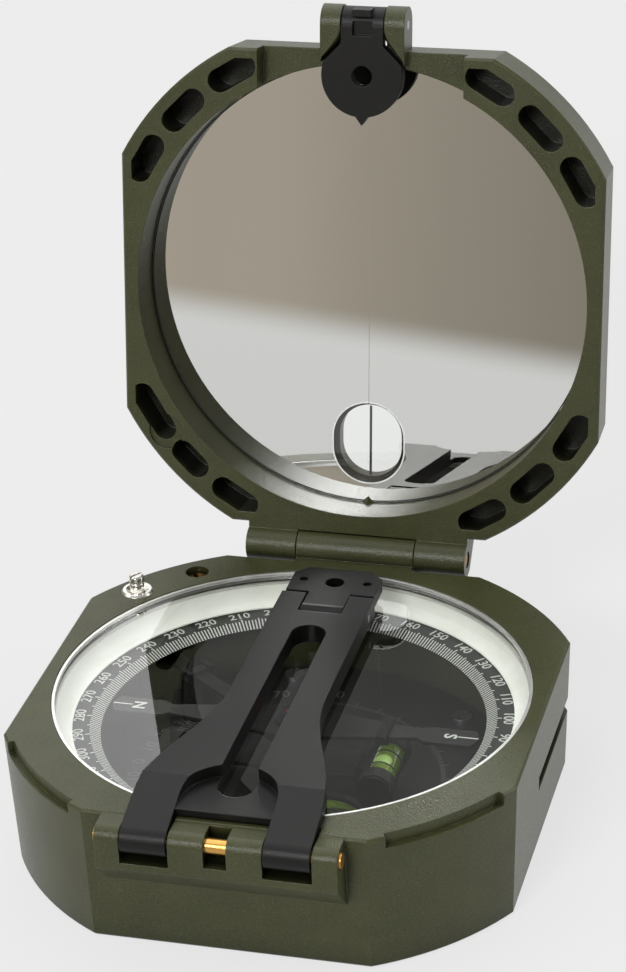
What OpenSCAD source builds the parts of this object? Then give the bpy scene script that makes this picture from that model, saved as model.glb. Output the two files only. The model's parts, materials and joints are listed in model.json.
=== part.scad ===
// Pocket sighting compass: moulded case, mirror lid, folding sights, azimuth dial, needle and clinometer

/* [Case] */
// Width of the case across its side flats
case_w = 72; // [70:0.5:80]
// Depth of the case from front flat to back flat
case_d = 72; // [70:0.5:80]
// Length of the straight flats between the rounded corners
flat_l = 39; // [36:0.5:42]
// Draft of the case walls, per side, from rim to base
wall_draft = 0.8; // [0.2:0.1:1.2]
// Chamfer along the base edge
base_edge = 0.5; // [0.2:0.1:1]
// Chamfer along the rims of case and lid
rim_edge = 0.3; // [0.1:0.05:0.5]
// Width of the rim beside the dial opening, at the flats
rim_wall = 2.2; // [2:0.1:3]
// Thickness of the case floor
floor_t = 2.3; // [1.6:0.1:3]
// Height of the thumb notches in the two front corners
notch_h = 1.8; // [1:0.1:3]
// Depth of the thumb notches
notch_depth = 1; // [0.5:0.1:1.5]
// Angle that each thumb notch spans
notch_angle = 26; // [15:1:30]
// Height of the tripod bracket grooves in the side walls
groove_h = 2.2; // [1.5:0.1:3]
// Depth of the bracket grooves
groove_depth = 2; // [1:0.1:2.4]
// Height of the grooves' centre line above the base
groove_z = 10.4; // [7:0.1:11]
// Distance that the grooves reach in front of the dial's centre
groove_front = 2.5; // [0:0.5:10]

/* [Dial] */
// Height of the lip above the crystal's snap ring
rim_lip = 0.1; // [0.05:0.05:0.5]
// Thickness of the snap ring
snap_t = 0.5; // [0.3:0.1:0.8]
// Width of the snap ring
snap_w = 0.45; // [0.4:0.05:1]
// Thickness of the crystal
crystal_t = 1; // [0.8:0.1:1.6]
// Thickness of the crystal's gasket
gasket_t = 0.3; // [0.2:0.1:0.6]
// Width of the gasket
gasket_w = 0.5; // [0.4:0.1:1.2]
// Height of the luminous ring
glow_h = 2.8; // [2:0.1:4]
// Thickness of the luminous ring at its top edge
glow_top = 0.5; // [0.3:0.1:0.8]
// Thickness of the luminous ring's lower lip
glow_lip = 0.2; // [0.1:0.05:0.4]
// Inward reach of the luminous ring from the rim
glow_reach = 2.65; // [2:0.05:3.5]
// Width of the ledge that carries the luminous ring
glow_ledge = 0.5; // [0.3:0.1:0.8]
// Height of the azimuth ring's outer foot
azimuth_h = 1.8; // [1.2:0.1:2.4]
// Thickness of the azimuth ring's scale
scale_t = 0.8; // [0.5:0.1:1]
// Width of the scale that shows inside the luminous ring
scale_w = 2.4; // [2:0.1:4]
// Width of the bevel inside the scale
scale_bevel = 1.55; // [1:0.05:2.5]
// Width of the azimuth ring's foot
azimuth_foot = 1.5; // [1:0.1:2]
// Turn of the azimuth ring each way
azimuth_travel = 9; // [4:0.5:9]

/* [Declination screw] */
// Angle of the screw round the case
screw_angle = 127; // [126:0.5:129]
// Radius of the slotted head
screw_head_r = 1.45; // [1.2:0.05:1.6]
// Radius of the recess round the head
screw_recess_r = 1.75; // [1.7:0.05:2]
// Depth of the head below the rim
screw_sunk = 1; // [0.5:0.1:1.4]
// Thickness of the head
screw_head_t = 1.6; // [1.2:0.1:1.8]
// Width of the slot in the head
screw_slot_w = 0.5; // [0.3:0.1:0.8]
// Radius of the screw's shaft
screw_shaft_r = 0.9; // [0.7:0.05:1.1]
// Module of the pinion and of the ring's toothed sector
tooth_module = 0.4; // [0.35:0.01:0.42]
// Teeth on the pinion
pinion_teeth = 10; // [10:1:10]

/* [Needle] */
// Thickness of the needle
needle_t = 0.6; // [0.4:0.1:0.8]
// Gap between the tube level and the needle
needle_gap = 0.8; // [0.8:0.1:2]
// Half width of the needle at its hub
needle_hub_w = 4.2; // [3.6:0.1:5]
// Half width of the needle at its waist
needle_waist_w = 1.1; // [0.8:0.1:2]
// Half width of the lettered tags at the needle's ends
needle_tag_w = 1.9; // [1.5:0.1:3.2]
// Length of each tag
needle_tag_l = 8; // [6:0.5:10]
// Height of the scale above the needle
needle_drop = 0.6; // [0.4:0.1:1]
// Radius of the needle's hub
hub_r = 2.6; // [2.4:0.1:3]
// Radius of the jewel in the hub
jewel_r = 1; // [0.8:0.1:1.2]
// Radius of the steel pivot
pivot_r = 0.6; // [0.4:0.05:0.8]

/* [Needle lift] */
// Angle of the lift pin round the case
lift_angle = 142.6; // [142:0.1:144]
// Radius of the pin's button
lift_pin_r = 1.1; // [0.9:0.05:1.15]
// Height of the pin above the rim
lift_pin_up = 2.7; // [2:0.1:3.2]
// Travel of the pin
lift_travel = 1; // [0.5:0.1:1]
// Radius of the pin's bush
bush_r = 2.45; // [2.3:0.05:2.6]
// Depth of the bush in the rim
bush_h = 4; // [3.6:0.1:4.4]
// Radius of the spring wire
spring_wire_r = 0.14; // [0.1:0.01:0.16]
// Turns of the spring
spring_turns = 2; // [1.5:0.5:3]
// Depth of the lift lever below the needle
lever_drop = 1.5; // [1.2:0.1:2]
// Width of the lift lever
lift_lever_w = 2.4; // [2:0.1:2.6]
// Thickness of the lift lever
lift_lever_t = 0.8; // [0.6:0.1:1]
// Distance from the cavity wall to the lever's pivot
lift_pivot_in = 8.5; // [8:0.1:9]

/* [Clinometer] */
// Radius of the spindle
spindle_r = 1.5; // [1.3:0.1:1.6]
// Thickness of the vernier arm
vernier_t = 0.8; // [0.6:0.1:1]
// Gap between the vernier arm's tip and the lever bracket
vernier_gap = 1.3; // [0.8:0.1:3]
// Depth of the pocket for the thumb lever in the base
thumb_pocket_h = 2.3; // [2:0.1:3]
// Radius of that pocket
thumb_pocket_r = 13.4; // [12:0.1:15]
// Thickness of the thumb lever
thumb_t = 1.2; // [1:0.1:1.4]
// Radius of the thumb lever's tip
thumb_tip_r = 2.4; // [2:0.1:3]
// Thickness of the base plate
plate_t = 1; // [0.8:0.1:1.5]

/* [Levels] */
// Distance of the tube level from the centre
tube_x = 13.9; // [13:0.1:14.5]
// Distance of the tube's middle in front of the centre
tube_front = 4; // [2:0.1:5]
// Outer radius of the tube level's holder
holder_r = 2.7; // [2.3:0.1:2.7]
// Length of the holder
holder_l = 11.2; // [9:0.2:13]
// Length of the window in the holder
tube_window_l = 7; // [5:0.2:8]
// Outer radius of the tube's glass
tube_r = 2.3; // [1.8:0.05:2.3]
// Thickness of the tube's glass
tube_wall = 0.4; // [0.3:0.05:0.6]
// Radius of the round level's cup
round_r = 6.8; // [5.5:0.1:7]
// Height of the round level
round_h = 2.4; // [2:0.1:3]
// Gap between the round level and the vernier arm
level_gap = 0.4; // [0.2:0.1:0.8]
// Wall of the round level's cup
round_wall = 0.8; // [0.5:0.1:1.2]
// Place of the round level to the right of the centre
round_x = 7; // [6:0.1:8]
// Place of the round level in front of the centre
round_front = 13; // [12:0.1:14]

/* [Lid] */
// Thickness of the lid
lid_h = 10.6; // [10:0.1:12]
// Gap between the closed lid and the case's rim
lid_gap = 0.1; // [0.1:0.05:0.4]
// Opening angle of the lid at rest, from closed
lid_open = 99.2; // [0:0.1:170]
// Widest opening of the lid, from closed
lid_open_max = 175; // [120:1:175]
// Draft of the lid's walls, per side
lid_draft = 0.6; // [0.2:0.1:1]
// Chamfer along the lid's back edge
lid_edge = 1.2; // [0.5:0.1:1.6]
// Depth of the mirror below the lid's rim
well_depth = 7; // [6.5:0.1:7.2]
// Thickness of the mirror
mirror_t = 1.4; // [1:0.1:1.8]
// Width of the oval sight window
window_w = 10.8; // [8:0.1:11]
// Height of the sight window
window_h = 12.5; // [11.5:0.1:14]
// Distance of the window's centre inside the mirror's edge
window_in = 9.4; // [9:0.1:12]
// Lip of the lid's floor behind the window
window_lip = 0.6; // [0.4:0.1:1]
// Width of the window's sighting line
hairline_w = 0.35; // [0.2:0.05:0.5]
// Width of the relief pockets in the lid's rim
pocket_w = 3.5; // [3:0.1:3.8]
// Angle that each pocket spans
pocket_span = 12; // [10:0.5:12.5]
// Angle between neighbouring pockets
pocket_pitch = 14.4; // [14:0.1:15]
// Depth of the pockets
pocket_depth = 6; // [4:0.1:7]
// Width of the rim recess that clears the sight arm
recess_w = 30.4; // [28:0.2:33]
// Depth of that recess
recess_depth = 3.4; // [3.3:0.1:4]
// Width of the index nub on the mirror well
nub_w = 2.2; // [1:0.1:3]

/* [Lid hinge] */
// Distance of the hinge line behind the back wall
hinge_back = 3.4; // [3.2:0.1:4.5]
// Height of the hinge line above the case's rim
hinge_up = 0.7; // [0.4:0.1:1]
// Radius of the hinge knuckles
knuckle_r = 2.6; // [2.2:0.1:2.8]
// Radius of the brass hinge pin
hinge_pin_r = 1.2; // [0.8:0.1:1.4]
// Depth of the hinge pin's ends in the lid's knuckles
hinge_pin_sunk = 0.2; // [0:0.1:1]
// Width of the case's middle knuckle
case_knuckle_w = 18; // [14:0.5:20]
// Width of each of the lid's knuckles
lid_knuckle_w = 7.7; // [5:0.1:9]
// Gap between neighbouring knuckles
knuckle_gap = 0.15; // [0.1:0.05:0.3]
// Height of the rib below the middle knuckle
knuckle_rib_h = 11; // [7:0.5:14]

/* [Front sight] */
// Distance of the sight's pivot in front of the lid
sight_out = 3.6; // [3.4:0.1:4.5]
// Height of the pivot above the lid's rim plane
sight_up = 4; // [3.8:0.1:4.4]
// Radius of the ears that hold the sight
ear_r = 2.6; // [2.2:0.1:2.8]
// Half width over both ears
ear_half_w = 6.2; // [5.6:0.1:6.3]
// Half width of the sight's root
sight_root_w = 3.1; // [2.5:0.1:3.4]
// Thickness of the sight's leaf
leaf_t = 1.6; // [1.2:0.1:1.7]
// Radius of the leaf's disc
leaf_r = 6; // [5:0.1:6.2]
// Distance of the disc's centre from the pivot
leaf_reach = 7.2; // [7:0.1:7.6]
// Radius of the hole in the disc
leaf_hole_r = 1.5; // [1:0.1:2]
// Length of the pointed tip
leaf_tip = 1.2; // [0.8:0.1:1.5]
// Radius of the sight's pin
sight_pin_r = 0.7; // [0.5:0.05:0.9]

/* [Sight arm] */
// Distance of the arm's hinge line in front of the case
arm_hinge_out = 2.3; // [2.2:0.1:3]
// Depth of the hinge line below the rim
arm_hinge_down = 1.9; // [1.8:0.1:2.2]
// Radius of the arm's knuckles
arm_knuckle_r = 2.1; // [1.9:0.05:2.15]
// Radius of the arm's hinge pin
arm_pin_r = 1.1; // [0.8:0.1:1.2]
// Gap between the arm and the case's rim
arm_gap = 0.2; // [0.15:0.05:0.3]
// Thickness of the arm
arm_t = 2.8; // [2.6:0.1:3]
// Half width of the arm along its slot
arm_half_w = 6.9; // [6.2:0.1:7.5]
// Half distance between the legs
leg_in = 6.6; // [6.6:0.1:7]
// Half width over both legs
leg_out = 12.9; // [12:0.1:13.5]
// Distance of the arm's fork tip inside the dial's rim
arm_tip_in = 12.4; // [12:0.1:13]
// Distance of the legs' crease behind the front wall
crease_in = 6.3; // [6:0.1:8]
// Distance of the flare's start from the dial's centre
flare_start = 7; // [4:0.5:10]
// Distance of the flare's end behind the front wall
flare_in = 2; // [1:0.1:3]
// Width of the sighting slot
slot_w = 5; // [4.5:0.1:5.4]
// Length of the solid arm between the slot and the fork tip
slot_rear_in = 9.1; // [8:0.1:12]
// Distance of the slot's front end behind the front wall
slot_front_in = 5; // [4.5:0.1:7]
// Thickness of the web in the leaf pocket
pocket_web = 1; // [0.8:0.05:1.05]
// Clearance round the leaf in its pocket
leaf_room = 0.6; // [0.4:0.1:0.6]
// Half width of the hinge boss on the case's front
boss_half_w = 16.5; // [15.5:0.5:18.5]
// Distance that the boss stands out from the case
boss_out = 4.1; // [4:0.05:4.2]
// Depth of the boss's front face below the rim
boss_face_h = 6; // [5:0.1:8]
// Depth of the boss's foot below the rim
boss_h = 11.2; // [9:0.1:14]
// Reach of the pin's ends beyond the boss
arm_pin_out = 0.3; // [0:0.05:0.6]
// Half width of the gap between the boss's middle knuckles
boss_gap_w = 1.57; // [1:0.01:3]

/* [Peep sight] */
// Distance of the peep sight's pivot from the fork tip
peep_pivot_in = 3.5; // [3.3:0.1:3.7]
// Length of the head beyond the fork
peep_head_l = 7.1; // [6:0.1:8]
// Gap between the head and the fork's tips
peep_head_gap = 0.9; // [0.3:0.1:1.2]
// Half width of the head
peep_half_w = 6.6; // [5:0.1:6.8]
// Half width of the tongue
peep_tongue_w = 3.1; // [2.5:0.1:3.5]
// Thickness of the peep sight
peep_t = 2; // [1.6:0.1:2]
// Radius of the barrel round its pin
peep_barrel_r = 1.4; // [1.2:0.05:1.4]
// Radius of its pin
peep_pin_r = 0.6; // [0.4:0.05:0.7]
// Radius of the sighting hole
peep_hole_r = 1.4; // [1:0.1:1.8]

/* [Hidden] */
$fn = 64;
olive = "#4a4d36";
charcoal = "#34353a";
dial_black = "#26272a";
brass = "#c08a3a";
chrome = "#d5d7da";
steel = "#a9adb2";
ivory = "#e6e8dc";
clear = "#dfeaec";
green = "#a9d83a";

// Clearances
part_gap = 0.05;
press_gap = 0.02;
run_gap = 0.05;
side_gap = 0.2;
move_gap = 0.3;
seat_gap = 0.1;
cut = 0.01;
over = 1;

// Heights, from the base upwards
floor_z = thumb_pocket_h + floor_t;
plate_z = floor_z + plate_t;
round_z = plate_z + round_h;
vernier_z = round_z + level_gap;
tube_z = vernier_z + holder_r;
needle_z = tube_z + holder_r + needle_gap;
needle_top = needle_z + needle_t;
scale_z = needle_top + needle_drop;
ledge_z = scale_z + move_gap;
glow_z = ledge_z + glow_h;
gasket_z = glow_z + gasket_t;
crystal_z = gasket_z + crystal_t;
snap_z = crystal_z + snap_t;
case_h = snap_z + rim_lip;
lever_z = needle_z - lever_drop - lift_lever_t;
lift_ring_z = lever_z + lift_lever_t + move_gap;
lift_ring_t = 0.7;
lift_ring_w = 1.8;
hub_gap = 0.35;
hub_z = lift_ring_z + lift_ring_t + hub_gap;

// Radii of the case and the dial
corner_r = norm([case_w / 2, flat_l / 2]);
bore_r = min(case_w, case_d) / 2 - rim_wall;
rim_mid_r = (corner_r + bore_r) / 2;
glow_r = bore_r - part_gap;
glow_in_r = bore_r - glow_reach;
azimuth_bore_r = bore_r - glow_ledge;
azimuth_r = azimuth_bore_r - seat_gap;
foot_in_r = azimuth_r - azimuth_foot;
cavity_r = foot_in_r - side_gap;
scale_in_r = glow_in_r - scale_w;
azimuth_in_r = scale_in_r - scale_bevel;
azimuth_z = scale_z - azimuth_h;
azimuth_seat_z = azimuth_z - seat_gap;
needle_end_gap = 0.4;
needle_r = azimuth_in_r - needle_end_gap;
needle_point_l = 0.8;
needle_waist_r = needle_r - needle_point_l - needle_tag_l;

// Gear mesh between the declination screw and the azimuth ring
pressure_angle = 20;
pinion_r = tooth_module * pinion_teeth / 2;
sector_r = rim_mid_r - pinion_r;
sector_teeth_full = 2 * sector_r / tooth_module;
tooth_angle = 360 / sector_teeth_full;
sector_side = ceil((azimuth_travel + 2 * tooth_angle) / tooth_angle);
stub_share = 0.55;
stub = stub_share * tooth_module;
pinion_top = tooth_module;
tooth_room = 0.1;
tooth_slack = 0.06;
sector_step = 0.4;
sector_t = azimuth_h - sector_step;
sector_top_z = azimuth_z + sector_t;
sector_pocket_z = sector_top_z + side_gap;
sector_pocket_r = sector_r + stub + side_gap;
sector_half_a = (sector_side + 0.5) * tooth_angle;
sector_room_a = 0.7;
sector_pocket_a = sector_half_a + azimuth_travel + sector_room_a;
pinion_room = 0.15;
pinion_pocket_r = pinion_r + pinion_top + pinion_room;
screw_head_z = case_h - screw_sunk - screw_head_t;
screw_pivot_r = 0.6;
screw_pivot_l = 1.2;

// Needle lift
bush_z = case_h - bush_h;
bush_lip = 0.3;
bush_wall = 0.55;
bush_cap = 1.4;
chamber_r = bush_r - bush_wall;
chamber_top = case_h - bush_cap;
lift_collar_t = 0.6;
lift_stem_r = lift_pin_r - part_gap;
lift_pin_z = lever_z + lift_lever_t + move_gap;
lift_pivot_r = cavity_r - lift_pivot_in;
lift_pivot_pin_r = 0.5;
lever_room = 0.5;
lever_end_room = 1.6;
lever_slot_up = 0.5;
lever_slot_w = lift_lever_w + 2 * lever_room;
bracket_t = 0.8;
bracket_l = 2.4;
bracket_up = 1.2;
lever_hub_r = 1.1;
fork_room = 0.25;
fork_prong = 1.3;
fork_l = 5;
fork_tip_r = 0.5;
spring_sides = 6;
spring_steps = 12;

// Clinometer
bracket_in_r = lift_pivot_r - bracket_l / 2;
vernier_r = bracket_in_r - vernier_gap;
collar_w = 1.1;
collar_r = spindle_r + collar_w;
spindle_gap = 0.15;
spindle_top = hub_z - spindle_gap;
spindle_bush_w = 1;
spindle_bush_r = spindle_r + spindle_bush_w;
thumb_gap = 0.15;
thumb_z = thumb_pocket_h - thumb_t - thumb_gap;
thumb_hub_wall = 2.7;
thumb_hub_r = spindle_r + thumb_hub_wall;
thumb_rib_w = 0.5;
thumb_rib_h = 0.25;
thumb_rib_pitch = 1.1;
thumb_room = 1;
thumb_reach = thumb_pocket_r - thumb_tip_r - thumb_room;
lever_screw_r = 0.8;
lever_screw_head_r = 2.2;
lever_screw_head_t = 0.5;
lever_screw_l = 2.6;
lever_screw_room = 0.4;
spindle_z = thumb_z + lever_screw_head_t;
plate_r = cavity_r - side_gap;
plate_screw_in = 3.2;
plate_screw_r = plate_r - plate_screw_in;
screw_size = 0.8;
pivot_hole_l = 1;
pivot_shoulder = 0.95;
pivot_tip = 1.75;
pivot_tip_r = 0.06;
jewel_up = 1.5;
jewel_t = 0.8;
round_floor = 0.6;
round_glass_t = 0.7;
round_sunk = 0.1;

// Lid
hinge_y = case_d / 2 + hinge_back;
hinge_z = case_h + hinge_up;
lid_z = case_h + lid_gap;
mirror_z = lid_z + well_depth;
mirror_back = mirror_z + mirror_t;
window_y = bore_r - window_in;
lid_root_h = 7;
lid_root_a = 60;
rib_a = -35;
rib_top = knuckle_r * [cos(rib_a), sin(rib_a)];
rib_foot = [case_d / 2 - over - hinge_y, -hinge_up - knuckle_rib_h];
rib_turn = atan2(rib_foot[0] - rib_top[0], rib_top[1] - rib_foot[1]);
lid_pin_half = case_knuckle_w / 2 + knuckle_gap + lid_knuckle_w;
sight_y = -(case_d / 2 + sight_out);
sight_z = lid_z + sight_up;
leaf_y = sight_y + leaf_reach;
leaf_up = 1.4;
leaf_z = lid_z + leaf_up;
ear_root = 1.8;
ear_back = case_d / 2 - ear_root;
ear_gap = 0.15;
leaf_shoulder = 0.2;
leaf_clear = 0.25;
pin_room_a = 2;
web_a = 1.4;

// Sight arm
arm_y = -(case_d / 2 + arm_hinge_out);
arm_axis_z = case_h - arm_hinge_down;
arm_z = case_h + arm_gap;
arm_top = arm_z + arm_t;
arm_tip = bore_r - arm_tip_in;
crease_y = crease_in - case_d / 2;
flare_y = flare_in - case_d / 2;
slot_rear = arm_tip - slot_rear_in;
slot_front = case_d / 2 - slot_front_in;
boss_y = -(case_d / 2 + boss_out);
boss_r = boss_out - arm_hinge_out;
web_z = arm_z + pocket_web;
leaf_pocket_r = leaf_r + leaf_room;
panel_in = 0.9;
panel_y = panel_in - case_d / 2;
leg_seat_in = 1.8;
leg_seat_y = leg_seat_in - case_d / 2;
leg_seat_down = 0.9;
leg_seat_z = case_h - leg_seat_down;
boss_gap_down = 2.4;
leg_room = 0.95;
peep_y = arm_tip - peep_pivot_in;
peep_z = arm_z + peep_barrel_r;
peep_sunk = 0.2;
peep_top = arm_top - peep_sunk;
peep_head_y = arm_tip + peep_head_gap;
tongue_gap = 0.15;

// Flat shapes and helpers

// Half angle of an involute tooth at radius r, for a gear of pitch radius rp and n teeth
function involute(r, rb) = let (a = acos(min(1, rb / r))) tan(a) * 180 / PI - a;
function tooth_half(r, rp, n) =
    let (rb = rp * cos(pressure_angle))
    90 / n - tooth_slack / rp * 180 / PI + involute(rp, rb) - involute(r, rb);

// One tooth along +X, from radius r0 to radius r1
module tooth(rp, n, r0, r1) {
    rb = rp * cos(pressure_angle);
    rs = max(r0, rb + cut);
    steps = 4;
    flank = [for (i = [0:steps]) let (r = rs + (r1 - rs) * i / steps) [r, tooth_half(r, rp, n)]];
    foot = [r0 - tooth_room, tooth_half(rs, rp, n)];
    side = concat([foot], flank);
    upper = [for (p = side) p[0] * [cos(p[1]), sin(p[1])]];
    lower = [for (i = [len(side) - 1:-1:0]) side[i][0] * [cos(side[i][1]), -sin(side[i][1])]];
    polygon(concat(upper, lower));
}

// Two circles on the X axis joined by their tangents
module tapered_bar(r1, r2, d) {
    a = acos((r1 - r2) / d);
    p = [[r1 * cos(a), r1 * sin(a)], [d + r2 * cos(a), r2 * sin(a)]];
    circle(r1);
    translate([d, 0]) circle(r2);
    polygon([p[0], p[1], [p[1][0], -p[1][1]], [p[0][0], -p[0][1]]]);
}

// Slot with round ends along Y
module obround(w, l) {
    for (s = [-1, 1]) translate([0, s * (l - w) / 2]) circle(d = w);
    square([w, l - w], center = true);
}

// Wedge from the centre, spanning the angle a each way from +X
module wedge(a, r) {
    bulge = 1.2;
    polygon([[0, 0], r * [cos(a), -sin(a)], r * [bulge, 0], r * [cos(a), sin(a)]]);
}

// Ring from radius r0 to r1 and height z0 to z1
module ring(r0, r1, z0, z1) {
    rotate_extrude() translate([r0, z0]) square([r1 - r0, z1 - z0]);
}

// Upright cylinder between two heights
module post(r, z0, z1) {
    translate([0, 0, z0]) cylinder(r = r, h = z1 - z0);
}

// Cylinder along X, centred, at a place in the YZ plane
module bar_x(r, l, y, z) {
    translate([0, y, z]) rotate([0, 90, 0]) cylinder(r = r, h = l, center = true);
}

// Extrusion along X, centred, of a profile drawn in Y and Z
module along_x(l) {
    rotate([90, 0, 90]) linear_extrude(l, center = true) children();
}

// Places at the rim, between the dial's bore and the rounded corner
module at_rim(a) {
    rotate([0, 0, a]) translate([rim_mid_r, 0, 0]) children();
}

// Turns the closed lid to its opening angle
module opened() {
    translate([0, hinge_y, hinge_z]) rotate([-lid_open, 0, 0]) translate([0, -hinge_y, -hinge_z]) children();
}

// Outline of the flats and corners, drafted upwards and chamfered along its small end
function slab(half, h, draft, edge) =
    let (a = half - draft * (h - edge) / h, b = half - draft - edge, c = half - rim_edge)
    [[-c, 0], [c, 0], [half, rim_edge], [a, h - edge], [b, h], [-b, h], [-a, h - edge], [-half, rim_edge]];

module drafted_block(h, draft, edge) {
    intersection() {
        rotate([90, 0, 0]) linear_extrude(case_d + over, center = true)
            polygon(slab(case_w / 2, h, draft, edge));
        along_x(case_w + over) polygon(slab(case_d / 2, h, draft, edge));
        rotate_extrude() polygon([for (p = slab(corner_r, h, draft, edge)) [max(0, p[0]), p[1]]]);
    }
}

// Case

module hinge_boss() {
    along_x(2 * boss_half_w) {
        translate([arm_y, arm_axis_z]) circle(boss_r);
        polygon([
            [-case_d / 2 + over, arm_axis_z + boss_r], [arm_y, arm_axis_z + boss_r], [arm_y, arm_axis_z],
            [boss_y, arm_axis_z], [boss_y, case_h - boss_face_h], [-case_d / 2 + over, case_h - boss_h]
        ]);
    }
}

module case_knuckle() {
    along_x(case_knuckle_w) translate([hinge_y, hinge_z]) {
        circle(knuckle_r);
        polygon([[rib_foot[0], -hinge_up], [0, -hinge_up], rib_top, rib_foot]);
    }
}

module leg_slots() {
    w = leg_out - leg_in + 2 * side_gap;
    floor = arm_axis_z - arm_knuckle_r - leg_room;
    for (s = [-1, 1]) translate([s * (leg_in + leg_out) / 2, 0, 0]) {
        translate([-w / 2, boss_y - over, floor])
            cube([w, boss_out + over + seat_gap, case_h]);
        translate([-w / 2, boss_y - over, leg_seat_z])
            cube([w, leg_seat_y - boss_y + over, case_h]);
    }
    translate([-boss_gap_w, boss_y - over, arm_axis_z - boss_gap_down])
        cube([2 * boss_gap_w, boss_out + over - side_gap, case_h]);
}

module thumb_notches() {
    for (a = [225, 315]) rotate([0, 0, a]) translate([0, 0, case_h - notch_h]) linear_extrude(case_h)
        difference() {
            intersection() {
                circle(corner_r + over);
                wedge(notch_angle / 2, corner_r + 2 * over);
            }
            circle(corner_r - notch_depth);
        }
}

module bracket_grooves() {
    for (s = [-1, 1]) translate([s * case_w / 2, case_d / 4 - groove_front / 2, groove_z])
        cube([2 * groove_depth, case_d / 2 + groove_front, groove_h], center = true);
}

module declination_cuts() {
    pocket_h = sector_pocket_z - azimuth_seat_z;
    rotate([0, 0, screw_angle]) translate([0, 0, azimuth_seat_z]) linear_extrude(pocket_h)
        intersection() {
            circle(sector_pocket_r);
            wedge(sector_pocket_a, corner_r);
        }
    at_rim(screw_angle) {
        post(pinion_pocket_r, azimuth_seat_z, sector_pocket_z);
        post(screw_pivot_r + run_gap, azimuth_z - screw_pivot_l - side_gap, azimuth_z);
        post(screw_shaft_r + run_gap, azimuth_z, case_h);
        post(screw_recess_r, screw_head_z - part_gap, case_h + over);
    }
}

module lift_cuts() {
    at_rim(lift_angle) {
        post(bush_r, bush_z, case_h + over);
        post(lift_stem_r + run_gap, lever_z, case_h);
    }
    slot_z = lever_z - lift_travel - move_gap;
    rotate([0, 0, lift_angle]) translate([cavity_r - over, -lever_slot_w / 2, slot_z])
        cube([
            rim_mid_r + lever_end_room - cavity_r + over, lever_slot_w,
            lift_travel + move_gap + lift_lever_t + lever_slot_up
        ]);
}

module case_body() {
    color(olive) difference() {
        union() {
            translate([0, 0, case_h]) mirror([0, 0, 1]) drafted_block(case_h, wall_draft, base_edge);
            hinge_boss();
            case_knuckle();
        }
        post(cavity_r, floor_z, case_h);
        post(azimuth_bore_r, azimuth_seat_z, case_h);
        post(bore_r, ledge_z, case_h + over);
        post(thumb_pocket_r, -over, thumb_pocket_h);
        post(spindle_bush_r, 0, case_h);
        plate_screw_places() post(screw_size, thumb_pocket_h, floor_z + over);
        declination_cuts();
        lift_cuts();
        leg_slots();
        thumb_notches();
        bracket_grooves();
        bar_x(arm_pin_r, 2 * boss_half_w + over, arm_y, arm_axis_z);
        bar_x(hinge_pin_r, case_knuckle_w + over, hinge_y, hinge_z);
    }
}

module lid_hinge_pin() {
    color(brass) bar_x(hinge_pin_r - press_gap, 2 * (lid_pin_half - hinge_pin_sunk), hinge_y, hinge_z);
}

module arm_hinge_pin() {
    color(brass) bar_x(arm_pin_r - press_gap, 2 * (boss_half_w + arm_pin_out), arm_y, arm_axis_z);
}

// Dial

module plate_screw_places() {
    for (a = [45, 105, 225, 285]) rotate([0, 0, a]) translate([plate_screw_r, 0, 0]) children();
}

module base_plate() {
    color(dial_black) difference() {
        post(plate_r, floor_z, plate_z);
        post(spindle_bush_r, floor_z - over, plate_z + over);
        plate_screw_places() post(screw_size, floor_z - over, plate_z + over);
    }
}

module plate_screws() {
    head_r = 1.5;
    head_t = 0.8;
    slot_w = 0.4;
    slot_depth = 0.3;
    color(steel) plate_screw_places() difference() {
        union() {
            post(screw_size - press_gap, floor_z - floor_t / 2, plate_z + head_t / 2);
            post(head_r, plate_z, plate_z + head_t);
        }
        translate([-2 * head_r, -slot_w / 2, plate_z + head_t - slot_depth]) cube([4 * head_r, slot_w, over]);
    }
}

module spindle_bush() {
    color(brass) ring(spindle_r + run_gap, spindle_bush_r - press_gap, thumb_pocket_h, plate_z);
}

module glow_ring() {
    steps = 8;
    rise = glow_h - glow_lip;
    span = glow_reach - glow_top - part_gap;
    curve = [for (i = [0:steps]) let (a = 90 * i / steps)
        [glow_in_r + span * sin(a), ledge_z + glow_lip + rise * (1 - cos(a))]];
    color(ivory) rotate_extrude()
        polygon(concat([[glow_in_r, ledge_z]], curve, [[glow_r, glow_z], [glow_r, ledge_z]]));
}

module crystal_gasket() {
    color(dial_black) ring(glow_r - gasket_w, glow_r, glow_z, gasket_z);
}

module crystal() {
    color(clear, 0.3) post(glow_r, gasket_z, crystal_z);
}

module crystal_ring() {
    color(chrome) ring(glow_r - snap_w, glow_r, crystal_z, snap_z);
}

module azimuth_ring() {
    ring_z = scale_z - scale_t;
    color(charcoal) {
        rotate_extrude() polygon([
            [azimuth_in_r, ring_z], [scale_in_r, scale_z], [azimuth_r, scale_z],
            [azimuth_r, azimuth_z], [foot_in_r, azimuth_z], [foot_in_r, ring_z]
        ]);
        rotate([0, 0, screw_angle]) translate([0, 0, azimuth_z]) linear_extrude(sector_t) toothed_sector();
    }
}

module toothed_sector() {
    root = sector_r - pinion_top - tooth_room;
    bite = 0.5;
    intersection() {
        difference() {
            circle(root);
            circle(azimuth_r - bite);
        }
        wedge(sector_half_a, corner_r);
    }
    for (i = [-sector_side:sector_side]) rotate(i * tooth_angle)
        tooth(sector_r, sector_teeth_full, root, sector_r + stub);
}

module pinion() {
    root = pinion_r - stub - tooth_room;
    circle(root);
    for (i = [0:pinion_teeth - 1]) rotate(180 + (i + 0.5) * 360 / pinion_teeth)
        tooth(pinion_r, pinion_teeth, root, pinion_r + pinion_top);
}

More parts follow.
